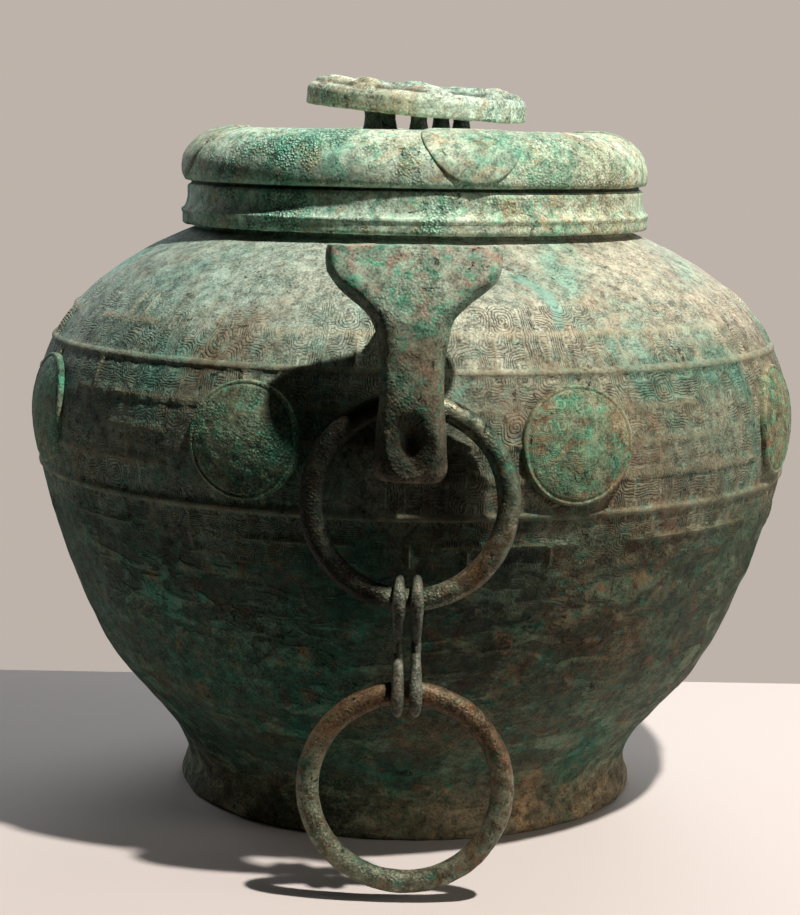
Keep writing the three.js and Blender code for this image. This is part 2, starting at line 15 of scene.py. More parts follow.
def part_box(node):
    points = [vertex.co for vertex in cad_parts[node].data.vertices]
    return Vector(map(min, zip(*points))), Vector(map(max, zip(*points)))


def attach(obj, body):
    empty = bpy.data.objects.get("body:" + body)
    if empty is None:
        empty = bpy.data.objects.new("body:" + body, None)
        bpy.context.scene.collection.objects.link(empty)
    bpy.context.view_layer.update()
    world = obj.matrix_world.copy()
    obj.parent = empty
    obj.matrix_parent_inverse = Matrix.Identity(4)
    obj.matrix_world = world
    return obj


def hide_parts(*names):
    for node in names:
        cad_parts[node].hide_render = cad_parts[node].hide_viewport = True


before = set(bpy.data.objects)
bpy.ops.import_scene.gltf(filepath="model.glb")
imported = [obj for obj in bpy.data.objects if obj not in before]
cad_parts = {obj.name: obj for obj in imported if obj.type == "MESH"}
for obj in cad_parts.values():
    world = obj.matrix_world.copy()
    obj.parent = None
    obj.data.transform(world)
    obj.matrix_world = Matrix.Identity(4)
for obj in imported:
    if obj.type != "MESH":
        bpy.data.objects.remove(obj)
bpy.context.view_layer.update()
SIDES = ("front", "back")

# %% [markdown]
# ## Camera
# The photograph looks at the vessel from just below the lid's top, a little downwards, with a long lens. The
# horizon hangs slightly to the right, so the camera is rolled by about one degree.

# %% Camera
CAMERA_PLACE = Vector((0, -1.3978, 0.4193))
CAMERA_LENS = 85.4
CAMERA_PITCH = 0.1485
CAMERA_YAW = 0.0049
CAMERA_ROLL = 0.0165
SENSOR_WIDTH = 36

camera = bpy.data.objects.new("camera", bpy.data.cameras.new("camera"))
bpy.context.scene.collection.objects.link(camera)
camera.data.lens = CAMERA_LENS
camera.data.sensor_width = SENSOR_WIDTH
camera.matrix_world = (
    Matrix.Translation(CAMERA_PLACE)
    @ Matrix.Rotation(CAMERA_YAW, 4, "Z")
    @ Matrix.Rotation(math.pi / 2 - CAMERA_PITCH, 4, "X")
    @ Matrix.Rotation(CAMERA_ROLL, 4, "Z")
)
bpy.context.scene.camera = camera
bpy.context.scene.view_settings.view_transform = "Standard"
print("camera at", tuple(CAMERA_PLACE), "lens", CAMERA_LENS)

# %% [markdown]
# ## Small helpers for nodes
# A finish is a tree of nodes. These helpers add a node, set its sockets from numbers or from other nodes, and
# hand back the output, so that a finish reads from top to bottom like a recipe.


# %% Node helpers
def feed(tree, sockets, values):
    """Links each socket to an output, or sets it where the value is a number or a colour."""
    for socket, value in zip(sockets, values):
        if isinstance(value, bpy.types.NodeSocket):
            tree.links.new(value, socket)
        else:
            socket.default_value = value


def add_node(tree, kind, sockets=None, **settings):
    node = tree.nodes.new(kind)
    for name, value in settings.items():
        setattr(node, name, value)
    sockets = sockets or {}
    feed(tree, [node.inputs[name] for name in sockets], sockets.values())
    return node


def maths(tree, operation, *values):
    node = add_node(tree, "ShaderNodeMath", operation=operation)
    feed(tree, node.inputs, values)
    return node.outputs[0]


def between(tree, value, low, high, to_low=0.0, to_high=1.0):
    """Rises smoothly from to_low to to_high as the value goes from low to high."""
    node = add_node(tree, "ShaderNodeMapRange", interpolation_type="SMOOTHSTEP")
    feed(tree, node.inputs, (value, low, high, to_low, to_high))
    return node.outputs[0]


def mixed(tree, share, first, second, blend="MIX"):
    node = add_node(tree, "ShaderNodeMix", data_type="RGBA", blend_type=blend)
    feed(tree, (node.inputs[0], node.inputs[6], node.inputs[7]), (share, first, second))
    return node.outputs[2]


def noise(tree, vector, scale, detail=4.0, roughness=0.6, distortion=0.0):
    sockets = {"Vector": vector, "Scale": scale, "Detail": detail, "Roughness": roughness}
    sockets["Distortion"] = distortion
    return add_node(tree, "ShaderNodeTexNoise", sockets).outputs[0]


def cells(tree, vector, scale, **settings):
    return add_node(tree, "ShaderNodeTexVoronoi", {"Vector": vector, "Scale": scale}, **settings)


def vectors(tree, operation, *values):
    node = add_node(tree, "ShaderNodeVectorMath", operation=operation)
    feed(tree, node.inputs, values)
    return node.outputs[0]


def moved(tree, vector, shift, scale=(1, 1, 1)):
    sockets = {"Vector": vector, "Location": shift, "Scale": scale}
    return add_node(tree, "ShaderNodeMapping", sockets).outputs[0]


def new_group(name, inputs, outputs):
    """An empty node group with named sockets; gives the tree, its input node and its output node."""
    tree = bpy.data.node_groups.new(name, "ShaderNodeTree")
    for direction, sockets in (("INPUT", inputs), ("OUTPUT", outputs)):
        for label, kind in sockets:
            tree.interface.new_socket(label, in_out=direction, socket_type=f"NodeSocket{kind}")
    return tree, tree.nodes.new("NodeGroupInput"), tree.nodes.new("NodeGroupOutput")


def use_group(tree, group, sockets):
    return add_node(tree, "ShaderNodeGroup", sockets, node_tree=group)


def grey(value):
    return (value, value, value, 1)


print("node helpers ready")

# %% [markdown]
# ## Floor and light
# The floor is a plain pale table top that ends just behind the vessel, against a plain warm grey. The main
# lamp hangs high on the right, a little to the front. Three weak ones help it: a broad one far behind, one
# behind on the left and one on the right. The surrounding light is weak too, so the left flank and the
# lower belly fall into shade, as on the real vessel.

# %% Floor, surroundings and lamps
FLOOR_HALF_WIDTH = 1.6
FLOOR_FRONT = -0.32
FLOOR_BACK = 0.25
FLOOR_COLOUR = (0.58, 0.53, 0.51, 1)
FLOOR_ROUGHNESS = 0.85
SURROUND_COLOUR = (0.51, 0.45, 0.40, 1)
SURROUND_LIGHT = 0.03
LAMP_DIRECTION = Vector((0.315, -0.30, 0.88)).normalized()
LAMP_DISTANCE = 3.0
LAMP_SIZE = 0.1
LAMP_POWER = 118
LAMP_COLOUR = (1.0, 0.94, 0.87)
BACK_LAMP_PLACE = Vector((0.7, 2.7, 1.4))
BACK_LAMP_SIZE = 2.2
BACK_LAMP_POWER = 60
BACK_LAMP_COLOUR = (0.95, 0.97, 1.0)
LEFT_LAMP_PLACE = Vector((-1.7, 2.3, 1.1))
LEFT_LAMP_SIZE = 1.5
LEFT_LAMP_POWER = 20
SIDE_LAMP_PLACE = Vector((2.7, -0.9, 0.8))
SIDE_LAMP_SIZE = 1.2
SIDE_LAMP_POWER = 21


def plain_material(name, colour, roughness):
    material = bpy.data.materials.new(name)
    material.use_nodes = True
    shader = material.node_tree.nodes["Principled BSDF"]
    shader.inputs["Base Color"].default_value = colour
    shader.inputs["Roughness"].default_value = roughness
    return material


bpy.ops.object.select_all(action="DESELECT")
bpy.ops.mesh.primitive_plane_add(size=1, location=(0, (FLOOR_FRONT + FLOOR_BACK) / 2, 0))
floor = bpy.context.object
floor.name = "floor"
floor.scale = (2 * FLOOR_HALF_WIDTH, FLOOR_BACK - FLOOR_FRONT, 1)
bpy.ops.object.transform_apply()
floor.data.materials.append(plain_material("pale_floor", FLOOR_COLOUR, FLOOR_ROUGHNESS))

world = bpy.data.worlds.new("surround")
world.use_nodes = True
bpy.context.scene.world = world
sky = world.node_tree
sky.nodes["Background"].inputs["Color"].default_value = SURROUND_COLOUR
seen = add_node(sky, "ShaderNodeLightPath").outputs["Is Camera Ray"]
strength = between(sky, seen, 0.0, 1.0, SURROUND_LIGHT, 1.0)
sky.links.new(strength, sky.nodes["Background"].inputs["Strength"])


def add_lamp(name, place, power, size, colour):
    """A square lamp that faces the foot of the vessel and isn't seen itself."""
    lamp = bpy.data.objects.new(name, bpy.data.lights.new(name, "AREA"))
    bpy.context.scene.collection.objects.link(lamp)
    lamp.data.energy = power
    lamp.data.size = size
    lamp.data.color = colour
    lamp.location = place
    lamp.rotation_euler = place.to_track_quat("Z", "Y").to_euler()
    lamp.visible_camera = False


add_lamp("main_lamp", LAMP_DIRECTION * LAMP_DISTANCE, LAMP_POWER, LAMP_SIZE, LAMP_COLOUR)
add_lamp("back_lamp", BACK_LAMP_PLACE, BACK_LAMP_POWER, BACK_LAMP_SIZE, BACK_LAMP_COLOUR)
add_lamp("left_lamp", LEFT_LAMP_PLACE, LEFT_LAMP_POWER, LEFT_LAMP_SIZE, BACK_LAMP_COLOUR)
add_lamp("side_lamp", SIDE_LAMP_PLACE, SIDE_LAMP_POWER, SIDE_LAMP_SIZE, LAMP_COLOUR)
print("floor ends at", FLOOR_BACK, "main lamp at", tuple(round(v, 2) for v in LAMP_DIRECTION * LAMP_DISTANCE))

# %% [markdown]
# ## The crust on old bronze
# Buried bronze grows layers: dark metal, brown and red copper oxide, then grey-green and bright green salts.
# One node group lays these over each other with noise of several sizes, so no two places look alike. Each
# finish gives it its own colours and shares. The group also gives a height, for grains and pits.


# %% Crust group
def scaled_colour(tree, colour, value):
    """A colour made lighter or darker by a value."""
    factor = add_node(tree, "ShaderNodeCombineColor")
    for socket in factor.inputs:
        tree.links.new(value, socket)
    return mixed(tree, 1.0, colour, factor.outputs[0], "MULTIPLY")


def spread(tree, field, share, softness, most):
    """A ragged mask that covers more of the surface as the share grows."""
    edge = maths(tree, "MULTIPLY_ADD", share, -0.5, 0.75)
    return between(tree, field, edge, maths(tree, "ADD", edge, softness), 0.0, most)


def crust_group():
    colours = [("Pale", "Color"), ("Dark", "Color"), ("Green", "Color"), ("Earth", "Color")]
    shares = [("Dark Share", "Float"), ("Green Share", "Float"), ("Earth Share", "Float")]
    shares += [("Grain", "Float"), ("Specks", "Float")]
    outputs = [("Color", "Color"), ("Roughness", "Float"), ("Height", "Float")]
    tree, given, made = new_group("crust", [("Vector", "Vector"), *colours, *shares], outputs)
    place = given.outputs["Vector"]
    pale, dark, green, earth = (given.outputs[label] for label, _ in colours)
    broad = noise(tree, place, 8.0, 8.0, 0.6, 0.8)
    middle = noise(tree, moved(tree, place, (3.1, 7.7, 1.3)), 48.0, 6.0, 0.66)
    mottle = noise(tree, moved(tree, place, (6.4, 2.8, 0.9)), 150.0, 5.0, 0.72)
    fine = noise(tree, place, 760.0, 2.0, 0.6)
    grit = maths(tree, "MULTIPLY_ADD", fine, 0.2, -0.1)

    def patches(shift, scale, size):
        """Clouds that break up into grains at their edges."""
        cloud = noise(tree, moved(tree, place, shift, scale), size, 9.0, 0.62, 0.7)
        return maths(tree, "ADD", cloud, grit)

    blend = maths(tree, "MULTIPLY_ADD", broad, 0.6, maths(tree, "MULTIPLY_ADD", middle, 0.4, grit))
    colour = mixed(tree, spread(tree, blend, given.outputs["Dark Share"], 0.2, 0.9), pale, dark)
    earth_share, green_share = given.outputs["Earth Share"], given.outputs["Green Share"]
    earth_field = patches((9.3, 4.4, 2.6), (1, 1, 0.8), 13.0)
    colour = mixed(tree, spread(tree, earth_field, earth_share, 0.2, 0.85), colour, earth)
    green_field = patches((5.2, 1.9, 8.4), (1, 1, 0.7), 11.0)
    colour = mixed(tree, spread(tree, green_field, green_share, 0.2, 0.85), colour, green)
    few_green = maths(tree, "SUBTRACT", green_share, 0.1)
    few_brown = maths(tree, "SUBTRACT", earth_share, 0.1)
    for shift, size, share, tone in (
        ((1.7, 2.2, 6.6), 110.0, few_green, green),
        ((8.1, 0.4, 3.9), 80.0, few_brown, earth),
        ((4.6, 9.9, 7.3), 70.0, few_brown, pale),
    ):
        field = patches(shift, (1, 1, 1), size)
        colour = mixed(tree, spread(tree, field, share, 0.1, given.outputs["Specks"]), colour, tone)
    grain = cells(tree, place, 620.0).outputs["Distance"]
    rough = between(tree, noise(tree, moved(tree, place, (2.4, 0.8, 5.5)), 16.0, 7.0, 0.66), 0.42, 0.6)
    in_patch = maths(tree, "MULTIPLY", rough, given.outputs["Grain"])
    hollow = maths(tree, "MINIMUM", maths(tree, "MULTIPLY", between(tree, grain, 0.34, 0.6), in_patch), 0.8)
    colour = mixed(tree, hollow, colour, mixed(tree, 1.0, green, grey(0.55), "MULTIPLY"))
    eaten = noise(tree, moved(tree, place, (0.3, 0.7, 0.1)), 190.0, 4.0, 0.6, 0.6)
    pit = maths(tree, "MULTIPLY", between(tree, eaten, 0.6, 0.68), between(tree, middle, 0.46, 0.6))
    pit_tone = mixed(tree, 1.0, dark, grey(0.4), "MULTIPLY")
    colour = mixed(tree, maths(tree, "MULTIPLY", pit, 0.85), colour, pit_tone)
    shade = maths(tree, "MULTIPLY_ADD", mottle, 0.55, maths(tree, "MULTIPLY", fine, 0.45))
    colour = scaled_colour(tree, colour, between(tree, shade, 0.32, 0.68, 0.3, 1.7))
    height = maths(tree, "MULTIPLY_ADD", mottle, 0.35, maths(tree, "MULTIPLY", middle, 0.8))
    height = maths(tree, "MULTIPLY_ADD", fine, between(tree, rough, 0.0, 1.0, 0.15, 0.6), height)
    grains = maths(tree, "MULTIPLY", maths(tree, "SUBTRACT", 0.7, grain), in_patch)
    height = maths(tree, "SUBTRACT", maths(tree, "ADD", height, grains), pit)
    tree.links.new(colour, made.inputs["Color"])
    tree.links.new(between(tree, blend, 0.25, 0.75, 0.85, 0.6), made.inputs["Roughness"])
    tree.links.new(height, made.inputs["Height"])
    return tree


CRUST = crust_group()
print("crust group with", len(CRUST.nodes), "nodes")

# %% [markdown]
# ## The interlace of fine lines
# The belly bands and the roundels are covered with snake bodies: ribbons of hair-thin parallel lines between
# raised borders, that turn corners, pass over each other and coil up. The wall is divided into small tiles.
# Every ribbon enters a tile at the middle of a side, so it runs on in the next tile whichever way that is
# turned. Each tile has its own map of two coordinates, and the first one also counts the kind of tile.

# %% Line ornament group
TILE_KINDS = {"corner": 0, "crossing": 1, "coil": 2, "plain": 3}
KIND_STEP = 2.0
TILE_MARGIN = 0.5
LINES_A_TILE = 11.2
RIBBON_HALF = 0.3125
BORDER_HALF = 0.06
CORNER_POWER = 4.0
COIL_POWER = 2.6
COIL_TURNS = 4.5
GROOVE_POWER = 3.0


def rounded_distance(tree, across, along, power):
    """A distance whose circles are squares with rounded corners."""
    powers = [maths(tree, "POWER", maths(tree, "ABSOLUTE", axis), power) for axis in (across, along)]
    return maths(tree, "POWER", maths(tree, "ADD", *powers), 1 / power)


def picked(tree, share, first, second):
    node = add_node(tree, "ShaderNodeMix")
    feed(tree, (node.inputs[0], node.inputs[2], node.inputs[3]), (share, first, second))
    return node.outputs[0]


def away(tree, value, middle):
    return maths(tree, "ABSOLUTE", maths(tree, "SUBTRACT", value, middle))


def ridge(tree, off):
    """A narrow rounded ridge where the distance from its middle is small."""
    return between(tree, off, 0.3 * BORDER_HALF, BORDER_HALF, 1.0, 0.0)


def fine_lines(tree, turns):
    """Broad flat ridges with a thin groove between them, one for each turn."""
    wave = maths(tree, "COSINE", maths(tree, "MULTIPLY", turns, 2 * math.pi))
    groove = maths(tree, "POWER", maths(tree, "MULTIPLY_ADD", wave, -0.5, 0.5), GROOVE_POWER)
    return maths(tree, "SUBTRACT", 1.0, groove)


def line_group():
    outputs = [("Height", "Float"), ("Ornament", "Float")]
    tree, given, made = new_group("fine_lines", [("Vector", "Vector")], outputs)
    split = add_node(tree, "ShaderNodeSeparateXYZ", {"Vector": given.outputs["Vector"]})
    kind = maths(tree, "FLOOR", maths(tree, "DIVIDE", split.outputs["X"], KIND_STEP))
    tile_start = maths(tree, "MULTIPLY_ADD", kind, KIND_STEP, TILE_MARGIN)
    across = maths(tree, "SUBTRACT", split.outputs["X"], tile_start)
    along = split.outputs["Y"]
    is_crossing = maths(tree, "COMPARE", kind, TILE_KINDS["crossing"], 0.1)
    is_coil = maths(tree, "COMPARE", kind, TILE_KINDS["coil"], 0.1)
    far = maths(tree, "GREATER_THAN", maths(tree, "ADD", across, along), 1.0)
    near = [picked(tree, far, axis, maths(tree, "SUBTRACT", 1.0, axis)) for axis in (across, along)]
    corner = maths(tree, "SUBTRACT", rounded_distance(tree, *near, CORNER_POWER), 0.5)
    on_top = maths(tree, "LESS_THAN", away(tree, along, 0.5), RIBBON_HALF + BORDER_HALF)
    crossing = maths(tree, "SUBTRACT", picked(tree, on_top, across, along), 0.5)
    off = picked(tree, is_crossing, corner, crossing)
    lines = fine_lines(tree, maths(tree, "MULTIPLY", off, LINES_A_TILE))
    border = ridge(tree, away(tree, maths(tree, "ABSOLUTE", off), RIBBON_HALF))
    ribbon = maths(tree, "MAXIMUM", maths(tree, "MULTIPLY", lines, 0.62), border)
    reach = rounded_distance(tree, away(tree, across, 0.5), away(tree, along, 0.5), COIL_POWER)
    turn = maths(tree, "ARCTAN2", maths(tree, "SUBTRACT", along, 0.5), maths(tree, "SUBTRACT", across, 0.5))
    turn = maths(tree, "MULTIPLY", turn, 1 / (2 * math.pi))
    coil = fine_lines(tree, maths(tree, "MULTIPLY_ADD", reach, 2 * COIL_TURNS, turn))
    height = picked(tree, is_coil, ribbon, maths(tree, "MULTIPLY", coil, 0.75))
    ornament = maths(tree, "LESS_THAN", kind, TILE_KINDS["plain"] - 0.5)
    tree.links.new(maths(tree, "MULTIPLY", height, ornament), made.inputs["Height"])
    tree.links.new(ornament, made.inputs["Ornament"])
    return tree


LINES = line_group()
print("line group with", len(LINES.nodes), "nodes")

# %% [markdown]
# ## Helpers for modelling
# Most of the vessel is round, so half an outline is drawn edge by edge and spun round the upright axis, as on
# a potter's wheel. Fine relief is then pushed out along the normals with Displace modifiers, guided by vertex
# groups, because cast ornament is only a low step on an even wall.


# %% Modelling helpers
def clear_selection():
    if bpy.context.object and bpy.context.object.mode != "OBJECT":
        bpy.ops.object.mode_set(mode="OBJECT")
    bpy.ops.object.select_all(action="DESELECT")


def select(*pieces):
    """Selects the pieces in object mode. The first one becomes the active one."""
    clear_selection()
    for piece in pieces:
        piece.select_set(True)
    bpy.context.view_layer.objects.active = pieces[0]


def joined(name, *pieces):
    select(*pieces)
    bpy.ops.object.join()
    pieces[0].name = name
    return pieces[0]


def curve(start, first, second, end, steps):
    """Points of a cubic curve from its two ends and two handles."""
    t = np.linspace(0, 1, steps + 1)[:, None]
    start, first, second, end = (np.array(p, float) for p in (start, first, second, end))
    return (1 - t) ** 3 * start + 3 * (1 - t) ** 2 * t * first + 3 * (1 - t) * t**2 * second + t**3 * end


def turned(name, outline, steps):
    """Draws half an outline as a string of edges and spins it into a closed round shape."""
    clear_selection()
    bpy.ops.mesh.primitive_plane_add(size=0.01)
    piece = bpy.context.object
    piece.name = name
    bpy.ops.object.mode_set(mode="EDIT")
    bpy.ops.mesh.select_all(action="SELECT")
    bpy.ops.mesh.merge(type="CENTER")
    here = Vector((0, 0, 0))
    for number, (radius, height) in enumerate(outline):
        step = Vector((radius, 0, height)) - here
        if number == 0:
            bpy.ops.transform.translate(value=step)
        else:
            bpy.ops.mesh.extrude_vertices_move(TRANSFORM_OT_translate={"value": step})
        here += step
    bpy.ops.mesh.select_all(action="SELECT")
    bpy.ops.mesh.spin(steps=steps, angle=2 * math.pi, center=(0, 0, 0), axis=(0, 0, 1))
    bpy.ops.mesh.select_all(action="SELECT")
    bpy.ops.mesh.remove_doubles(threshold=1e-5)
    bpy.ops.mesh.normals_make_consistent(inside=False)
    bpy.ops.object.mode_set(mode="OBJECT")
    return piece


def places(piece):
    values = np.empty(len(piece.data.vertices) * 3)
    piece.data.vertices.foreach_get("co", values)
    return values.reshape(-1, 3)


def set_places(piece, points):
    piece.data.vertices.foreach_set("co", np.asarray(points, float).ravel())
    piece.data.update()


def weigh(piece, name, weights):
    group = piece.vertex_groups.new(name=name)
    for index in np.flatnonzero(weights > 0):
        group.add([int(index)], float(weights[index]), "REPLACE")


def mark(piece, name, values):
    """Keeps a number at every vertex, for the finish to read."""
    piece.data.attributes.new(name, "FLOAT", "POINT").data.foreach_set("value", values)


def apply_modifier(piece, modifier):
    select(piece)
    bpy.ops.object.modifier_apply(modifier=modifier.name)


def push_out(piece, depth, group=""):
    """Moves the surface out along its normals, by depth times the weight in the group."""
    modifier = piece.modifiers.new("push", "DISPLACE")
    modifier.strength = depth
    modifier.mid_level = 0
    modifier.vertex_group = group
    apply_modifier(piece, modifier)


def roughen(piece, depth, size, group=""):
    """Moves the surface in and out by a cloudy noise of the given grain."""
    texture = bpy.data.textures.new("grain", "CLOUDS")
    texture.noise_scale = size
    texture.noise_depth = 3
    modifier = piece.modifiers.new("rough", "DISPLACE")
    modifier.strength = depth
    modifier.mid_level = 0.5
    modifier.texture = texture
    modifier.texture_coords = "LOCAL"
    modifier.vertex_group = group
    apply_modifier(piece, modifier)


def smooth(piece, angle):
    """Shades a piece smoothly, apart from edges that are sharper than the angle in degrees."""
    select(piece)
    bpy.ops.object.shade_smooth_by_angle(angle=math.radians(angle))


def dress(piece, body, node, material):
    piece.data.materials.clear()
    piece.data.materials.append(material)
    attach(piece, body)
    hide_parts(node)


print("modelling helpers ready")

# %% [markdown]
# ## The wall of the vessel
# The wall is one thin casting: a ring foot, a hollow flank, the full belly, the shoulder and the neck that
# the lid hides. Its outside is three smooth curves, the same as in the construction. Rows of faces are laid
# close together where the ornament is, and wide apart on the plain flank, so that the mesh stays light. Main
# sizes of the wall, and later of the lid, the rings and the links, are read from the construction's boxes.

# %% Wall outline
vessel_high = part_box("vessel_body")[1]
FOOT_RADIUS = 0.147
FOOT_EDGE = 0.006
FOOT_WALL = 0.008
WAIST_RADIUS = 0.143
WAIST_HEIGHT = 0.019
FLANK_RADIUS = 0.1955
FLANK_HEIGHT = 0.096
FLANK_SLOPE = math.tan(math.radians(31))
BELLY_RADIUS = vessel_high.x
BELLY_HEIGHT = 0.244
SHOULDER_HEIGHT = 0.3585
NECK_RADIUS = 0.1395
LIP_HEIGHT = vessel_high.z
WALL_THICKNESS = 0.0045
FLOOR_UNDERSIDE = 0.02
FLOOR_TOP = 0.026
FLOOR_RING = 0.07
FINE_STEPS = 300


def wall_path():
    flank_rise = FLANK_HEIGHT - WAIST_HEIGHT
    belly_rise = BELLY_HEIGHT - FLANK_HEIGHT
    shoulder_rise = SHOULDER_HEIGHT - BELLY_HEIGHT
    shoulder_out = NECK_RADIUS + 0.6 * (BELLY_RADIUS - NECK_RADIUS)
    flank = curve(
        (WAIST_RADIUS, WAIST_HEIGHT),
        (WAIST_RADIUS, WAIST_HEIGHT + 0.28 * flank_rise),
        (FLANK_RADIUS - FLANK_SLOPE * 0.39 * flank_rise, FLANK_HEIGHT - 0.39 * flank_rise),
        (FLANK_RADIUS, FLANK_HEIGHT),
        FINE_STEPS,
    )
    belly = curve(
        (FLANK_RADIUS, FLANK_HEIGHT),
        (FLANK_RADIUS + FLANK_SLOPE * 0.14 * belly_rise, FLANK_HEIGHT + 0.14 * belly_rise),
        (BELLY_RADIUS, BELLY_HEIGHT - 0.34 * belly_rise),
        (BELLY_RADIUS, BELLY_HEIGHT),
        FINE_STEPS,
    )
    shoulder = curve(
        (BELLY_RADIUS, BELLY_HEIGHT),
        (BELLY_RADIUS, BELLY_HEIGHT + 0.45 * shoulder_rise),
        (shoulder_out, SHOULDER_HEIGHT - 0.2 * shoulder_rise),
        (NECK_RADIUS, SHOULDER_HEIGHT),
        FINE_STEPS,
    )
    return np.vstack([flank, belly[1:], shoulder[1:]])


class Path:
    """A half outline that can be asked for its point and its normal at any distance along it."""

    def __init__(self, points):
        self.points = np.asarray(points, float)
        steps = np.linalg.norm(np.diff(self.points, axis=0), axis=1)
        self.arcs = np.concatenate([[0], np.cumsum(steps)])
        self.length = self.arcs[-1]

    def at(self, arc):
        return np.stack([np.interp(arc, self.arcs, self.points[:, axis]) for axis in (0, 1)], -1)

    def normal(self, arc, span=0.0005):
        along = self.at(np.asarray(arc) + span) - self.at(np.asarray(arc) - span)
        along = along / np.linalg.norm(along, axis=-1, keepdims=True)
        return np.stack([along[..., 1], -along[..., 0]], -1)

    def arc_at_height(self, height):
        return np.interp(height, self.points[:, 1], self.arcs)


wall = Path(wall_path())
print("wall is", round(wall.length, 4), "m along its outside")

# %% [markdown]
# ## Bands of ornament
# Two raised lines run round the belly. Tiles of interlace fill the space between them, a strip below and a
# wider strip above; the shoulder and the flank stay plain. Tiles and rows of faces share their borders, so
# every face belongs to one tile.

# %% Ornament bands
LINE_HEIGHTS = (0.2125, 0.2905)
LINE_HALF = 0.0028
LINE_PROUD = 0.0017
TILES_ROUND = 92
COLUMNS_A_TILE = 6
ROWS_A_TILE = 6
LOW_BAND = 0.028
HIGH_BAND = 0.042
PLAIN_ROW = 0.0055
SHOULDER_ROW = 0.0045
LINE_ROWS = 6

line_arcs = [float(wall.arc_at_height(height)) for height in LINE_HEIGHTS]
bands = [
    (line_arcs[0] - LINE_HALF - LOW_BAND, line_arcs[0] - LINE_HALF, 2),
    (line_arcs[0] + LINE_HALF, line_arcs[1] - LINE_HALF, 4),
    (line_arcs[1] + LINE_HALF, line_arcs[1] + LINE_HALF + HIGH_BAND, 2),
]
borders = [0.0, *(edge for band in bands for edge in band[:2]), wall.length]
row_counts = [
    round(borders[1] / PLAIN_ROW),
    bands[0][2] * ROWS_A_TILE,
    LINE_ROWS,
    bands[1][2] * ROWS_A_TILE,
    LINE_ROWS,
    bands[2][2] * ROWS_A_TILE,
    round((borders[7] - borders[6]) / SHOULDER_ROW),
]
row_arcs = [np.linspace(a, b, count + 1)[:-1] for a, b, count in zip(borders, borders[1:], row_counts)]
row_arcs = np.concatenate([*row_arcs, [wall.length]])
print(len(row_arcs), "rows on the outside")

# %% [markdown]
# Foot, outside, neck, inside and floor follow each other in one half outline. It is spun in as many steps as
# the tiles have columns of faces.

# %% Spin the wall
INSIDE_ROWS = 18
FOOT_INNER_BEVEL = 0.001
FOOT_OUTER_BEVEL = 0.0015
FOOT_LEDGE = 0.0007
FOOT_SWEEP = ((0.0019, 0.004), (0.0006, 0.009))
NECK_ROW = 0.009
LIP_BEVEL = 0.001


def vessel_outline():
    foot = [(0, FLOOR_UNDERSIDE), (FLOOR_RING, FLOOR_UNDERSIDE), (WAIST_RADIUS - FOOT_WALL, FLOOR_UNDERSIDE)]
    foot_inside = FOOT_RADIUS - FOOT_WALL
    foot += [(foot_inside, FOOT_INNER_BEVEL), (foot_inside + FOOT_INNER_BEVEL, 0)]
    foot += [(FOOT_RADIUS - FOOT_OUTER_BEVEL, 0), (FOOT_RADIUS, FOOT_OUTER_BEVEL)]
    foot += [(FOOT_RADIUS, 0.5 * FOOT_EDGE), (FOOT_RADIUS - FOOT_LEDGE, FOOT_EDGE)]
    foot += [(WAIST_RADIUS + out, FOOT_EDGE + up) for out, up in FOOT_SWEEP]
    outside = [tuple(point) for point in wall.at(row_arcs)]
    neck = [(NECK_RADIUS, SHOULDER_HEIGHT + NECK_ROW), (NECK_RADIUS, LIP_HEIGHT - LIP_BEVEL)]
    neck += [(NECK_RADIUS - LIP_BEVEL, LIP_HEIGHT), (NECK_RADIUS - WALL_THICKNESS, LIP_HEIGHT)]
    arcs = np.linspace(wall.length, 0, INSIDE_ROWS)
    inner = wall.at(arcs) - WALL_THICKNESS * wall.normal(arcs)
    inside = [(r, z) for r, z in inner if z > FLOOR_TOP + WALL_THICKNESS and r > NECK_RADIUS - WALL_THICKNESS]
    corner = wall.at(wall.arc_at_height(FLOOR_TOP))[0] - 1.2 * WALL_THICKNESS
    ground = [(corner, FLOOR_TOP), (FLOOR_RING, FLOOR_TOP), (0, FLOOR_TOP)]
    return foot + outside + neck + inside + ground


vessel = turned("vessel_wall", vessel_outline(), TILES_ROUND * COLUMNS_A_TILE)
print("vessel wall:", len(vessel.data.polygons), "faces")

# %% [markdown]
# ## Tiles of interlace on the wall
# Each tile is given a kind and a quarter turn by a seeded choice, and every corner of its faces gets its
# place inside the tile as a map coordinate. The same numbers lift the ribbons as real relief. Narrow fillets
# between some tiles divide the bands into long panels. An attribute keeps where the raised lines and fillets
# are, because they are rubbed paler. Last, the whole wall is dented a little, and the flank most.

# %% Ornament map and relief
KIND_SHARES = (0.78, 0.14, 0.08)
FILLET_SHARES = (0.2, 0.16)
FILLET_RUN = 5
FILLET_HOLD = 0.8
RELIEF_DEPTH = 0.0008
RIBBON_LIFT = 0.6
RIBBON_SLOPE = 0.12
COIL_CORE = 0.2
LINE_FULLNESS = 1.35
FILLET_PROUD = 0.0014
LINE_WEAR = 0.55
FILLET_WEAR = 0.9
FLANK_TOP = 0.19
FLANK_FADE = 0.03
WALL_DENTS = (0.0016, 0.09)
WALL_GRAIN = (0.0006, 0.012)
FLANK_DENTS = (0.0030, 0.026)
TILE_SEED = 11
tile_choice = np.random.default_rng(TILE_SEED)


def choose_tiles(choice, rows, columns):
    """Kinds and quarter turns for a field of tiles."""
    return choice.choice(3, (rows, columns), p=KIND_SHARES), choice.integers(0, 4, (rows, columns))


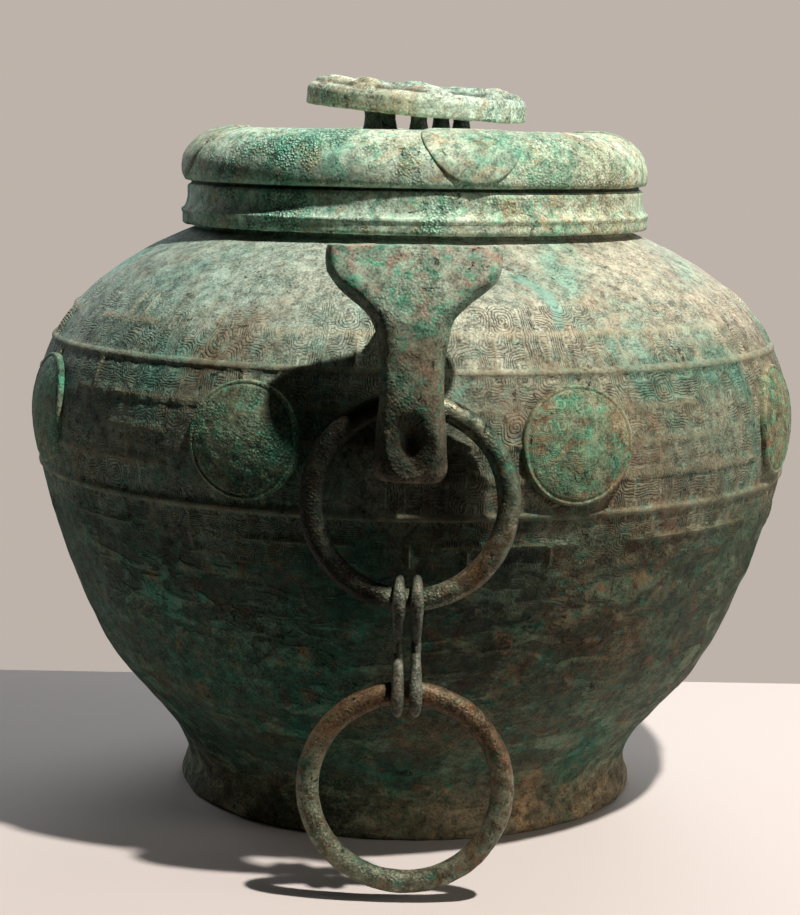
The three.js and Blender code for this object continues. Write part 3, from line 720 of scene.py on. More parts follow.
def choose_fillets(choice, rows, columns):
    """Which tiles have a fillet below them, in runs, and which have one on their left."""
    below = choice.random((rows, columns)) < FILLET_SHARES[0]
    for _ in range(FILLET_RUN - 1):
        below |= np.roll(below, 1, 1) & (choice.random((rows, columns)) < FILLET_HOLD)
    below[0] = False
    return below, choice.random((rows, columns)) < FILLET_SHARES[1]


def turned_place(x, y, turn):
    """Turns places in a unit square by quarter turns."""
    across = np.select([turn == 0, turn == 1, turn == 2], [x, y, 1 - x], 1 - y)
    along = np.select([turn == 0, turn == 1, turn == 2], [y, 1 - x, 1 - y], x)
    return across, along


def ribbon_lift(kind, x, y):
    """How far the ribbons stand up, from 0 to 1, at places in their tiles."""
    far = x + y > 1
    near_x, near_y = np.where(far, 1 - x, x), np.where(far, 1 - y, y)
    corner = np.abs((near_x**CORNER_POWER + near_y**CORNER_POWER) ** (1 / CORNER_POWER) - 0.5)
    over, under = np.abs(y - 0.5), np.abs(x - 0.5)
    crossing = np.minimum(over, under)
    coil = (over**COIL_POWER + under**COIL_POWER) ** (1 / COIL_POWER) - COIL_CORE
    off = np.select([kind == 0, kind == 1, kind == 2], [corner, crossing, coil], 1.0)
    return RIBBON_LIFT * np.clip((RIBBON_HALF + BORDER_HALF - off) / RIBBON_SLOPE, 0, 1)


def azimuth_of(points):
    """Turn from the front, seen from above, as a share of a full round."""
    return np.arctan2(points[:, 0], -points[:, 1]) / (2 * math.pi) % 1.0


def is_outside(points):
    radius = np.hypot(points[:, 0], points[:, 1])
    return radius > np.interp(points[:, 2], wall.points[:, 1], wall.points[:, 0]) - WALL_THICKNESS / 2


def face_frame(piece):
    """For every corner of every face: its vertex, its face, and the centres of all the faces."""
    mesh = piece.data
    vertex = np.empty(len(mesh.loops), int)
    start = np.empty(len(mesh.polygons), int)
    size = np.empty(len(mesh.polygons), int)
    mesh.loops.foreach_get("vertex_index", vertex)
    mesh.polygons.foreach_get("loop_start", start)
    mesh.polygons.foreach_get("loop_total", size)
    centres = np.add.reduceat(places(piece)[vertex], start) / size[:, None]
    return vertex, np.repeat(np.arange(len(size)), size), centres


def plain_map(count):
    """Map coordinates of faces without ornament."""
    return np.tile([TILE_KINDS["plain"] * KIND_STEP + TILE_MARGIN, 0.5], (count, 1))


def lay_tiles(piece):
    points = places(piece)
    vertex, face_of, centres = face_frame(piece)
    turn_face = azimuth_of(centres) * TILES_ROUND
    turn_corner = azimuth_of(points[vertex]) * TILES_ROUND
    turn_corner += TILES_ROUND * np.round((turn_face[face_of] - turn_corner) / TILES_ROUND)
    column = np.floor(turn_face).astype(int) % TILES_ROUND
    x = np.clip(turn_corner - np.floor(turn_face)[face_of], 0, 1)
    arc_face = wall.arc_at_height(centres[:, 2])
    arc_corner = wall.arc_at_height(points[vertex, 2])
    outside = is_outside(centres)
    map_places = plain_map(len(vertex))
    weights, fillets = np.zeros(len(points)), np.zeros(len(points))
    for start, end, rows in bands:
        kinds, turns = choose_tiles(tile_choice, rows, TILES_ROUND)
        below, beside = choose_fillets(tile_choice, rows, TILES_ROUND)
        row_face = (arc_face - start) / (end - start) * rows
        here = (outside & (row_face > 0) & (row_face < rows))[face_of]
        row = np.clip(np.floor(row_face).astype(int), 0, rows - 1)
        y = np.clip((arc_corner - start) / (end - start) * rows - row[face_of], 0, 1)
        kind = kinds[row, column][face_of]
        across, along = turned_place(x, y, turns[row, column][face_of])
        map_places[here] = np.stack([across + TILE_MARGIN + KIND_STEP * kind, along], -1)[here]
        np.maximum.at(weights, vertex[here], ribbon_lift(kind, across, along)[here])
        edge = below[row, column][face_of] & (y < 0.5 / ROWS_A_TILE)
        edge |= beside[row, column][face_of] & (x < 0.5 / COLUMNS_A_TILE)
        np.maximum.at(fillets, vertex[here & edge], 1.0)
    piece.data.uv_layers.new(name="tiles").data.foreach_set("uv", map_places.ravel())
    return weights, fillets


relief, fillets = lay_tiles(vessel)
weigh(vessel, "relief", relief)
wall_points = places(vessel)
line_weight = np.zeros(len(wall_points))
for arc in line_arcs:
    off = np.abs(wall.arc_at_height(wall_points[:, 2]) - arc) / LINE_HALF
    line_weight = np.maximum(line_weight, np.clip(LINE_FULLNESS * (1 - off**2), 0, 1))
line_weight[~is_outside(wall_points)] = 0
weigh(vessel, "lines", line_weight)
weigh(vessel, "fillets", fillets)
mark(vessel, "worn", np.maximum(LINE_WEAR * line_weight, FILLET_WEAR * fillets))
push_out(vessel, RELIEF_DEPTH, "relief")
push_out(vessel, LINE_PROUD, "lines")
push_out(vessel, FILLET_PROUD, "fillets")
flank = np.clip((FLANK_TOP - wall_points[:, 2]) / FLANK_FADE, 0, 1) * is_outside(wall_points)
weigh(vessel, "flank", flank)
roughen(vessel, *WALL_DENTS)
roughen(vessel, *WALL_GRAIN)
roughen(vessel, *FLANK_DENTS, "flank")
wall_points = places(vessel)
wall_points[:, 2] = np.maximum(wall_points[:, 2], 0)
set_places(vessel, wall_points)
smooth(vessel, 50)
print("relief on", int((relief > 0).sum()), "corners")

# %% [markdown]
# ## The finish of the vessel
# The shoulder carries a pale crust, the bands are browner with bright green in the grooves, the flank is dark
# green and the foot brown. The height over the floor, disturbed by noise, steers the colours from one zone to
# the next, so the borders are ragged like real corrosion. The crust is creamier on the right and mintier on
# the left, and the raised borders of the interlace are rubbed paler than the ground. Scales have come off
# the flank, and a drop has left a turquoise arc on the shoulder beside the handle.


# %% Vessel finish
METAL_SHARE = 0.1
SHEEN = 0.2
UNREST = 0.3
MINT_TINT = (0.94, 1.14, 1.16)
CREAM_TINT = (1.08, 1.0, 0.94)
RUBBED_TINT = (1.5, 1.35, 1.15)
LINE_TONES = (0.6, 1.27)
STAIN_MIDDLE = (0.0482, -0.1974, 0.321)
STAIN_RADIUS = 0.0344
STAIN_HALF = 0.0045
STAIN_COLOUR = (0.19, 0.42, 0.34, 1)
FLAKE_TOP = (0.17, 0.21)
FLAKE_DEPTH = 0.0018
FLAKE_TONES = (0.5, 1.6)
LEFT_GRAIN = 1.5
RIGHT_GRAIN = 0.4


def height_zones(tree, place, colours, specks, zones):
    """The four crust colours and the specks, changing from zone to zone with the height over the floor."""
    height = add_node(tree, "ShaderNodeSeparateXYZ", {"Vector": place}).outputs["Z"]
    ragged = maths(tree, "MULTIPLY_ADD", noise(tree, place, 22.0, 6.0, 0.68), 0.09, -0.045)
    layers = [(*colour, 1) for colour in colours]
    for low, high, unrest, zone_colours, zone_specks in zones:
        level = maths(tree, "MULTIPLY_ADD", ragged, unrest, height)
        inside = between(tree, level, low, high, 1.0, 0.0)
        layers = [mixed(tree, inside, layer, (*colour, 1)) for layer, colour in zip(layers, zone_colours)]
        specks = picked(tree, inside, specks, zone_specks)
    return layers, specks


def rightness(tree, place):
    """A ragged change from 0 on the left of the vessel to 1 on its right."""
    side = add_node(tree, "ShaderNodeSeparateXYZ", {"Vector": place}).outputs["X"]
    ragged = maths(tree, "MULTIPLY_ADD", noise(tree, place, 7.0, 6.0, 0.65), 0.5, -0.25)
    return between(tree, maths(tree, "ADD", side, ragged), -0.14, 0.14)


def bumped(tree, height, depth, **more):
    """The normal of a surface that a height lifts by up to the depth."""
    sockets = {"Height": height, "Strength": 1.0, "Distance": depth, **more}
    return add_node(tree, "ShaderNodeBump", sockets).outputs[0]


def stained(tree, place, colour):
    """A turquoise arc on the shoulder, such as a drop leaves round its right edge."""
    off = vectors(tree, "SUBTRACT", place, STAIN_MIDDLE)
    far = add_node(tree, "ShaderNodeVectorMath", {0: off}, operation="LENGTH").outputs["Value"]
    ragged = maths(tree, "MULTIPLY_ADD", noise(tree, place, 60.0, 5.0, 0.7), 0.008, far)
    arc = between(tree, away(tree, ragged, STAIN_RADIUS + 0.004), 0.3 * STAIN_HALF, STAIN_HALF, 0.6, 0.0)
    side = add_node(tree, "ShaderNodeSeparateXYZ", {"Vector": off})
    right = between(tree, side.outputs["X"], 0.002, 0.012)
    above = between(tree, side.outputs["Z"], -0.012, -0.004)
    arc = maths(tree, "MULTIPLY", arc, maths(tree, "MULTIPLY", right, above))
    return mixed(tree, arc, colour, STAIN_COLOUR)


def flaked(tree, place, colour, normal):
    """Scales on the flank where the crust has come off in places: dark hollows with paler edges."""
    height = add_node(tree, "ShaderNodeSeparateXYZ", {"Vector": place}).outputs["Z"]
    where = between(tree, noise(tree, moved(tree, place, (7.2, 3.3, 1.8)), 9.0, 4.0), 0.4, 0.6, 0.3, 1.0)
    share = maths(tree, "MULTIPLY", where, between(tree, height, *FLAKE_TOP, 1.0, 0.0))
    scales = noise(tree, moved(tree, place, (1.1, 0.2, 4.4), (1, 1, 2.2)), 40.0, 7.0, 0.62, 0.6)
    step = maths(tree, "MULTIPLY", share, between(tree, scales, 0.44, 0.58))
    tone = picked(tree, share, 1.0, between(tree, scales, 0.4, 0.62, *FLAKE_TONES))
    return scaled_colour(tree, colour, tone), bumped(tree, step, FLAKE_DEPTH, Normal=normal)


def unsteady(tree, place, uv):
    """Shakes a map a little, like a line cut by hand."""
    sockets = {"Vector": place, "Scale": 110.0, "Detail": 2.0}
    shake = add_node(tree, "ShaderNodeTexNoise", sockets).outputs["Color"]
    shake = vectors(tree, "SUBTRACT", shake, (0.5, 0.5, 0.5))
    return vectors(tree, "MULTIPLY_ADD", shake, (UNREST, UNREST, UNREST), uv)


def kept_number(tree, name):
    """Reads a number that a piece keeps at its vertices, or 0 where it keeps none."""
    return add_node(tree, "ShaderNodeAttribute", attribute_name=name).outputs["Fac"]


def carved(tree, place, colour, normal, pale, depth):
    """Cuts the fine lines into a finish, half filled with crust, and rubs the raised borders paler."""
    uv = add_node(tree, "ShaderNodeUVMap", uv_map="tiles").outputs[0]
    lines = use_group(tree, LINES, {"Vector": unsteady(tree, place, uv)})
    filled = noise(tree, moved(tree, place, (2.2, 6.1, 0.7)), 24.0, 6.0, 0.7)
    clear = between(tree, filled, 0.4, 0.62, 0.15, 1.0)
    height = maths(tree, "MULTIPLY", lines.outputs["Height"], clear)
    plain = maths(tree, "SUBTRACT", 1.0, maths(tree, "MULTIPLY", lines.outputs["Ornament"], clear))
    tone = maths(tree, "MULTIPLY_ADD", plain, 0.6, height)
    colour = scaled_colour(tree, colour, between(tree, tone, 0.0, 1.0, *LINE_TONES))
    rubbed = between(tree, filled, 0.35, 0.65, 0.3, 0.75)
    rubbed = maths(tree, "MULTIPLY", kept_number(tree, "worn"), rubbed)
    paler = mixed(tree, 1.0, pale, (*RUBBED_TINT, 1), "MULTIPLY")
    return mixed(tree, rubbed, colour, paler), bumped(tree, height, depth, Normal=normal)


def crusted(
    name,
    colours,
    shares,
    grain_depth,
    line_depth=0,
    zones=(),
    drift=False,
    metal=METAL_SHARE,
    polish=1.0,
    painted_shade_tone=1.0,
    own_marks=False,
):
    """A bronze finish: crust colours and shares, with or without fine lines, zones by height and a drift."""
    material = bpy.data.materials.new(name)
    material.use_nodes = True
    tree = material.node_tree
    shader = tree.nodes["Principled BSDF"]
    shader.inputs["Metallic"].default_value = metal
    shader.inputs["Specular IOR Level"].default_value = SHEEN
    place = add_node(tree, "ShaderNodeTexCoord").outputs["Object"]
    layers, specks = height_zones(tree, place, colours, shares[4], zones)
    labels = ("Pale", "Dark", "Green", "Earth", "Dark Share", "Green Share", "Earth Share", "Grain", "Specks")
    sockets = dict(zip(labels, (*layers, *shares[:4], specks)), Vector=place)
    if drift:
        right = rightness(tree, place)
        sockets["Grain"] = between(tree, right, 0.0, 1.0, LEFT_GRAIN * shares[3], RIGHT_GRAIN * shares[3])
    crust = use_group(tree, CRUST, sockets)
    colour = crust.outputs["Color"]
    normal = bumped(tree, crust.outputs["Height"], grain_depth)
    if drift:
        tint = mixed(tree, right, (*MINT_TINT, 1), (*CREAM_TINT, 1))
        colour = mixed(tree, 1.0, colour, tint, "MULTIPLY")
    if own_marks:
        colour, normal = flaked(tree, place, stained(tree, place, colour), normal)
    if line_depth:
        colour, normal = carved(tree, place, colour, normal, layers[0], line_depth)
    # Painted shade: darkens the colour where a piece keeps a 'hollow' number, in the lid's groove, between the
    # knob's coils and on the upper rings' left half.
    if painted_shade_tone < 1:
        tone = between(tree, kept_number(tree, "hollow"), 0.0, 1.0, 1.0, painted_shade_tone)
        colour = scaled_colour(tree, colour, tone)
    tree.links.new(colour, shader.inputs["Base Color"])
    tree.links.new(maths(tree, "MULTIPLY", crust.outputs["Roughness"], polish), shader.inputs["Roughness"])
    tree.links.new(normal, shader.inputs["Normal"])
    return material


SHOULDER_CRUST = ((0.35, 0.36, 0.295), (0.13, 0.13, 0.10), (0.17, 0.33, 0.27), (0.28, 0.195, 0.125))
BAND_CRUST = ((0.205, 0.21, 0.155), (0.025, 0.025, 0.02), (0.07, 0.20, 0.155), (0.17, 0.105, 0.062))
FLANK_CRUST = ((0.070, 0.098, 0.065), (0.004, 0.006, 0.004), (0.016, 0.094, 0.062), (0.098, 0.066, 0.036))
FOOT_CRUST = ((0.20, 0.168, 0.106), (0.012, 0.011, 0.006), (0.037, 0.094, 0.056), (0.28, 0.172, 0.086))
vessel_finish = crusted(
    "vessel_crust",
    SHOULDER_CRUST,
    (0.54, 0.52, 0.52, 0.4, 0.35),
    0.0006,
    line_depth=0.0006,
    zones=(
        (0.285, 0.315, 1.0, BAND_CRUST, 0.5),
        (0.185, 0.225, 1.0, FLANK_CRUST, 0.9),
        (0.012, 0.045, 0.5, FOOT_CRUST, 0.6),
    ),
    drift=True,
    own_marks=True,
)
dress(vessel, "vessel", "vessel_body", vessel_finish)
print("vessel dressed")

# %% [markdown]
# ## Roundels on the belly
# Eight cast roundels sit between the two raised lines. One is modelled flat: a bead round the edge, a groove
# inside it, and a low crown with the same tiles of interlace. Each copy is then laid on the wall, so its back
# follows the belly's curve.

# %% One flat roundel
ROUNDEL_RADIUS = 0.0335
ROUNDEL_PROUD = 0.0042
ROUNDEL_SUNK = 0.0015
ROUNDEL_STEPS = 128
ROUNDEL_TILES = 6
ROUNDEL_RELIEF = 0.0004
ROUNDEL_ROWS = 30
FIELD_SEED = 5
FIELD_EDGE = 0.88


def with_rows(outline, spacing):
    """Adds points between those of an outline, so that no row is wider than the spacing."""
    points = [outline[0]]
    for start, end in zip(outline, outline[1:]):
        count = max(1, math.ceil(math.dist(start, end) / spacing))
        run = np.array(end) - np.array(start)
        points += [tuple(np.array(start) + run * i / count) for i in range(1, count + 1)]
    return points


def flat_roundel(name, radius, proud, shares, sunk):
    face = with_rows([(share * radius, lift * proud) for share, lift in shares], radius / ROUNDEL_ROWS)
    return turned(name, [(0, -sunk), (radius, -sunk), *face], ROUNDEL_STEPS)


BEADED_FACE = (
    (1.0, 0.2), (0.993, 0.5), (0.978, 0.76), (0.955, 0.88), (0.935, 0.87), (0.915, 0.76), (0.9, 0.73),
    (FIELD_EDGE, 0.77), (0.7, 0.87), (0.36, 0.96), (0, 1.0),
)
roundel = flat_roundel("roundel", ROUNDEL_RADIUS, ROUNDEL_PROUD, BEADED_FACE, ROUNDEL_SUNK)
print("flat roundel:", len(roundel.data.polygons), "faces")

# %% [markdown]
# The face is divided into square tiles too, six across, with kinds and turns of their own. Outside its
# groove and on its back it stays plain.


# %% Fields of the roundel
def lay_fields(piece, radius, seed):
    """Gives a flat roundel the same map as the wall's tiles, and gives back the relief's weights."""
    points = places(piece)
    vertex, face_of, centres = face_frame(piece)
    tile = 2 * radius / ROUNDEL_TILES
    column, row = (np.floor(centres[:, axis] / tile).astype(int) for axis in (0, 1))
    x = np.clip(points[vertex, 0] / tile - column[face_of], 0, 1)
    y = np.clip(points[vertex, 1] / tile - row[face_of], 0, 1)
    kinds, turns = choose_tiles(np.random.default_rng(seed), ROUNDEL_TILES, ROUNDEL_TILES)
    half = ROUNDEL_TILES // 2
    kind = kinds[row + half, column + half][face_of]
    across, along = turned_place(x, y, turns[row + half, column + half][face_of])
    reach = np.hypot(centres[:, 0], centres[:, 1]) / radius
    plain = ((reach > FIELD_EDGE) | (centres[:, 2] < 0))[face_of]
    lift = np.where(plain, 0, ribbon_lift(kind, across, along))
    map_places = plain_map(len(vertex))
    map_places[~plain] = np.stack([across + TILE_MARGIN + KIND_STEP * kind, along], -1)[~plain]
    piece.data.uv_layers.new(name="tiles").data.foreach_set("uv", map_places.ravel())
    weights = np.zeros(len(points))
    np.maximum.at(weights, vertex, lift)
    return weights


weigh(roundel, "relief", lay_fields(roundel, ROUNDEL_RADIUS, FIELD_SEED))
push_out(roundel, ROUNDEL_RELIEF, "relief")
print("roundel has", ROUNDEL_TILES, "tiles across its face")

# %% [markdown]
# Each copy is turned by another angle before it is laid on the wall, so that no two show the same field
# upright, and it is dented a little by itself.

# %% Lay the roundels on the belly
ROUNDEL_HEIGHT = 0.2515
ROUNDEL_COUNT = 8
ROUNDEL_TURN = 1.3
ROUNDEL_DENTS = (0.0007, 0.012)
ROUNDEL_CRUST = ((0.22, 0.235, 0.155), (0.05, 0.048, 0.03), (0.08, 0.27, 0.17), (0.19, 0.115, 0.065))
roundel_finish = crusted(
    "roundel_crust",
    ROUNDEL_CRUST,
    (0.54, 0.57, 0.54, 0.6, 0.75),
    0.0008,
    line_depth=0.00015,
    drift=True,
)


def copy_of(piece, name):
    """A copy with its own mesh."""
    select(piece)
    bpy.ops.object.duplicate()
    copy = bpy.context.object
    copy.name = name
    return copy


def lay_on(piece, path, arc, azimuth):
    """Bends a flat disc over a round wall: its own axis follows the wall's normal."""
    flat = places(piece)
    along = arc + flat[:, 1]
    point = path.at(along)
    normal = path.normal(along)
    radius = point[:, 0] + normal[:, 0] * flat[:, 2]
    height = point[:, 1] + normal[:, 1] * flat[:, 2]
    angle = azimuth + flat[:, 0] / point[:, 0]
    set_places(piece, np.stack([radius * np.sin(angle), -radius * np.cos(angle), height], -1))


def turn_flat(piece, angle):
    points = places(piece)
    c, s = math.cos(angle), math.sin(angle)
    turned_points = [points[:, 0] * c - points[:, 1] * s, points[:, 0] * s + points[:, 1] * c, points[:, 2]]
    set_places(piece, np.stack(turned_points, -1))


def drop(piece):
    select(piece)
    bpy.ops.object.delete()


roundel_arc = float(wall.arc_at_height(ROUNDEL_HEIGHT))
for number in range(ROUNDEL_COUNT):
    piece = copy_of(roundel, f"belly_roundel_{number + 1}_cast")
    turn_flat(piece, ROUNDEL_TURN * number)
    lay_on(piece, wall, roundel_arc, (number + 0.5) * 2 * math.pi / ROUNDEL_COUNT)
    roughen(piece, *ROUNDEL_DENTS)
    smooth(piece, 50)
    dress(piece, "vessel", f"belly_roundel_{number + 1}", roundel_finish)
drop(roundel)
print(ROUNDEL_COUNT, "roundels on the belly")

# %% [markdown]
# ## The lid
# The lid is a turned shape too: a straight band at the bottom, a hollow waist, a narrow groove and a low
# dome. Its crust is the roughest of all, with grains and pits, so the mesh is fine enough to be roughened
# as well.

# %% Lid outline
lid_low, lid_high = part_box("lid")
NECK_GAP = 0.0008
SEAT_GAP = 0.0003
SKIRT_BOTTOM = lid_low.z
SKIRT_INSIDE = NECK_RADIUS + NECK_GAP
SKIRT_BAND = 0.010
SKIRT_BEAD = 0.0007
SKIRT_OUTSIDE = lid_high.x - SKIRT_BEAD
SKIRT_HOLLOW = 0.0032
SKIRT_WAIST = SKIRT_OUTSIDE - SKIRT_HOLLOW
LID_SEAT = LIP_HEIGHT + SEAT_GAP
GROOVE_HEIGHT = 0.003
GROOVE_DEPTH = 0.0024
LID_TOP = lid_high.z
DOME_HEIGHT = LID_TOP - LID_SEAT
DOME_EDGE = 0.0014
DOME_RADIUS = SKIRT_WAIST + 0.0028
DOME_ROUND = 0.033
LID_THICKNESS = 0.005
LID_LEDGE = NECK_RADIUS - 0.004
LID_ROW = 0.0022
CEILING_ROW = 0.02
SKIRT_EDGE = 0.0009
LID_STEPS = 380


def dome_path():
    base = LID_SEAT + GROOVE_HEIGHT
    widest = base + 0.2 * DOME_HEIGHT
    edge = np.array([(SKIRT_WAIST + DOME_EDGE, base), (DOME_RADIUS, base), (DOME_RADIUS, widest)])
    t = np.linspace(0, 1, 40)[:, None]
    turn = (1 - t) ** 2 * edge[0] + 2 * (1 - t) * t * edge[1] + t**2 * edge[2]
    side = curve(
        (DOME_RADIUS, widest),
        (DOME_RADIUS, widest + 0.55 * (LID_TOP - widest)),
        (DOME_RADIUS - 0.4 * DOME_ROUND, LID_TOP),
        (DOME_RADIUS - DOME_ROUND, LID_TOP),
        FINE_STEPS,
    )
    return np.vstack([turn, side[1:], [(0, LID_TOP)]])


dome = Path(dome_path())


def lid_outline():
    edge = SKIRT_EDGE
    bottom = [(SKIRT_INSIDE, SKIRT_BOTTOM + edge), (SKIRT_INSIDE + edge, SKIRT_BOTTOM)]
    bottom += [(SKIRT_OUTSIDE - edge, SKIRT_BOTTOM), (SKIRT_OUTSIDE, SKIRT_BOTTOM + edge)]
    band = [
        (SKIRT_OUTSIDE, SKIRT_BOTTOM + 0.66 * SKIRT_BAND),
        (SKIRT_OUTSIDE + SKIRT_BEAD, SKIRT_BOTTOM + 0.78 * SKIRT_BAND),
        (SKIRT_OUTSIDE + SKIRT_BEAD, SKIRT_BOTTOM + 0.92 * SKIRT_BAND),
        (SKIRT_OUTSIDE - 0.35 * SKIRT_HOLLOW, SKIRT_BOTTOM + 1.05 * SKIRT_BAND),
        (SKIRT_OUTSIDE - 0.75 * SKIRT_HOLLOW, SKIRT_BOTTOM + 1.3 * SKIRT_BAND),
        (SKIRT_WAIST, SKIRT_BOTTOM + 1.65 * SKIRT_BAND),
        (SKIRT_WAIST, LID_SEAT - 0.001),
        (SKIRT_WAIST - 0.3 * GROOVE_DEPTH, LID_SEAT),
    ]
    groove = [
        (SKIRT_WAIST - GROOVE_DEPTH, LID_SEAT + GROOVE_HEIGHT / 3),
        (SKIRT_WAIST - GROOVE_DEPTH, LID_SEAT + 0.75 * GROOVE_HEIGHT),
    ]
    arcs = np.linspace(0, dome.length, round(dome.length / LID_ROW))
    top = [tuple(point) for point in dome.at(arcs)]
    ceiling = [(0, LID_TOP - LID_THICKNESS), (LID_LEDGE - DOME_ROUND, LID_TOP - LID_THICKNESS)]
    ceiling += [(LID_LEDGE - 0.25 * DOME_ROUND, LID_TOP - 1.9 * LID_THICKNESS)]
    ceiling += [(LID_LEDGE, LID_SEAT + 0.35 * DOME_HEIGHT), (LID_LEDGE, LID_SEAT), (SKIRT_INSIDE, LID_SEAT)]
    outside = with_rows(bottom + band, LID_ROW) + groove + top
    return outside + with_rows(ceiling, CEILING_ROW) + [(SKIRT_INSIDE, SKIRT_BOTTOM + edge)]


lid = turned("lid_cast", lid_outline(), LID_STEPS)
print("lid:", len(lid.data.polygons), "faces")

# %% [markdown]
# Only the outside is roughened, so that the lid still fits over the neck. The groove is marked, because its
# crust is darkened into a thin dark line of painted shade.

# %% Roughen and finish the lid
LID_DENTS = (0.0012, 0.05)
LID_GRAIN = (0.0004, 0.0055)
INSIDE_MARGIN = 0.001
LID_CRUST = ((0.53, 0.60, 0.48), (0.10, 0.12, 0.08), (0.13, 0.38, 0.26), (0.45, 0.35, 0.21))
lid_points = places(lid)
lid_reach = np.hypot(lid_points[:, 0], lid_points[:, 1])
lid_out = lid_reach > SKIRT_INSIDE + INSIDE_MARGIN
lid_out |= lid_points[:, 2] > LID_TOP - 0.5 * LID_THICKNESS
lid_out |= (lid_points[:, 2] > LID_SEAT + 0.3 * DOME_HEIGHT) & (lid_reach > LID_LEDGE)
# Painted shade: the groove is darkened through its 'hollow' number.
in_groove = (lid_reach > SKIRT_INSIDE + INSIDE_MARGIN) & (lid_reach < SKIRT_WAIST - 0.5 * GROOVE_DEPTH)
in_groove &= abs(lid_points[:, 2] - LID_SEAT - 0.5 * GROOVE_HEIGHT) < 0.5 * GROOVE_HEIGHT
mark(lid, "hollow", in_groove.astype(float))
weigh(lid, "crust", lid_out.astype(float))
roughen(lid, *LID_DENTS, "crust")
roughen(lid, *LID_GRAIN, "crust")
smooth(lid, 60)
lid_finish = crusted(
    "lid_crust_and_painted_shade",
    LID_CRUST,
    (0.54, 0.56, 0.54, 1.0, 0.7),
    0.0011,
    drift=True,
    painted_shade_tone=0.15,
)
dress(lid, "lid", "lid", lid_finish)
print("lid dressed")

# %% [markdown]
# ## Roundels on the lid
# Four flatter and smoother roundels lie on the dome's shoulder, with only a thin seam round them.

# %% Lid roundels
LID_ROUNDEL_RADIUS = 0.0295
LID_ROUNDEL_PROUD = 0.0013
LID_ROUNDEL_COUNT = 4
LID_ROUNDEL_PLACE = math.radians(14)
LID_ROUNDEL_TURN = 0.9
LID_ROUNDEL_DENTS = (0.0008, 0.009)
LID_ROUNDEL_ARC = 0.0025 + LID_ROUNDEL_RADIUS
SMOOTH_FACE = ((1.0, -0.1), (0.997, 0.45), (0.985, 0.75), (0.96, 0.92), (0.9, 1.0), (0.5, 0.94), (0, 0.9))
ROUNDEL_GREY = ((0.42, 0.49, 0.37), (0.15, 0.17, 0.13), (0.13, 0.37, 0.26), (0.42, 0.32, 0.19))
lid_roundel = flat_roundel(
    "lid_roundel", LID_ROUNDEL_RADIUS, LID_ROUNDEL_PROUD, SMOOTH_FACE, sunk=LID_ROUNDEL_PROUD
)
lid_roundel_finish = crusted("lid_roundel_crust", ROUNDEL_GREY, (0.46, 0.58, 0.56, 0.4, 0.6), 0.0006)
for number in range(LID_ROUNDEL_COUNT):
    piece = copy_of(lid_roundel, f"lid_roundel_{number + 1}_cast")
    turn_flat(piece, LID_ROUNDEL_TURN * number)
    lay_on(piece, dome, LID_ROUNDEL_ARC, LID_ROUNDEL_PLACE + number * 2 * math.pi / LID_ROUNDEL_COUNT)
    roughen(piece, *LID_ROUNDEL_DENTS)
    smooth(piece, 50)
    dress(piece, "lid", f"lid_roundel_{number + 1}", lid_roundel_finish)
drop(lid_roundel)
print(LID_ROUNDEL_COUNT, "roundels on the lid")

# %% [markdown]
# ## Knob and posts
# Five short posts carry a thick disc with a wreath of worn coils on its rim. The disc sits askew, lower on
# the right. The hollows between the coils are marked, because they are darkened with painted shade.

# %% Knob disc
KNOB_RADIUS = 0.070
KNOB_THICKNESS = 0.012
KNOB_GAP = 0.0139
KNOB_DIP = 0.003
KNOB_INNER = KNOB_RADIUS - 0.014
TILT_RIGHT = math.radians(4.3)
TILT_FRONT = math.radians(2.2)
KNOB_COILS = 10
COIL_HEIGHT = 0.0052
COIL_CIRCLE = 0.05
COIL_REACH = (0.0165, 0.0138)
KNOB_COIL_TURNS = 1.6
COIL_GROOVE = 0.4
COIL_STRAY = 0.1
COIL_SLANT = 0.006
COIL_LOWEST = 0.6
COIL_SEED = 4
KNOB_ROW = 0.0014
KNOB_STEPS = 300
KNOB_DENTS = (0.0018, 0.022)
KNOB_GRAIN = (0.0007, 0.005)
POST_CIRCLE = 0.0295
POST_RADIUS = 0.006
KNOB_CRUST = ((0.52, 0.64, 0.53), (0.15, 0.17, 0.13), (0.20, 0.43, 0.34), (0.45, 0.35, 0.20))


def knob_outline():
    under = [(0, 0), (POST_CIRCLE + 2 * POST_RADIUS, 0), (KNOB_INNER, -KNOB_DIP)]
    under += [(0.955 * KNOB_RADIUS, -KNOB_DIP)]
    side = [(0.99 * KNOB_RADIUS, -0.95 * KNOB_DIP), (KNOB_RADIUS, -0.6 * KNOB_DIP)]
    side += [(0.997 * KNOB_RADIUS, 0.6 * KNOB_THICKNESS), (0.975 * KNOB_RADIUS, 0.84 * KNOB_THICKNESS)]
    top = [(0.92 * KNOB_RADIUS, 0.97 * KNOB_THICKNESS), (KNOB_INNER, KNOB_THICKNESS)]
    top += [(0.55 * KNOB_INNER, KNOB_THICKNESS - KNOB_DIP), (0, KNOB_THICKNESS - KNOB_DIP)]
    return with_rows(under + side + top, KNOB_ROW)


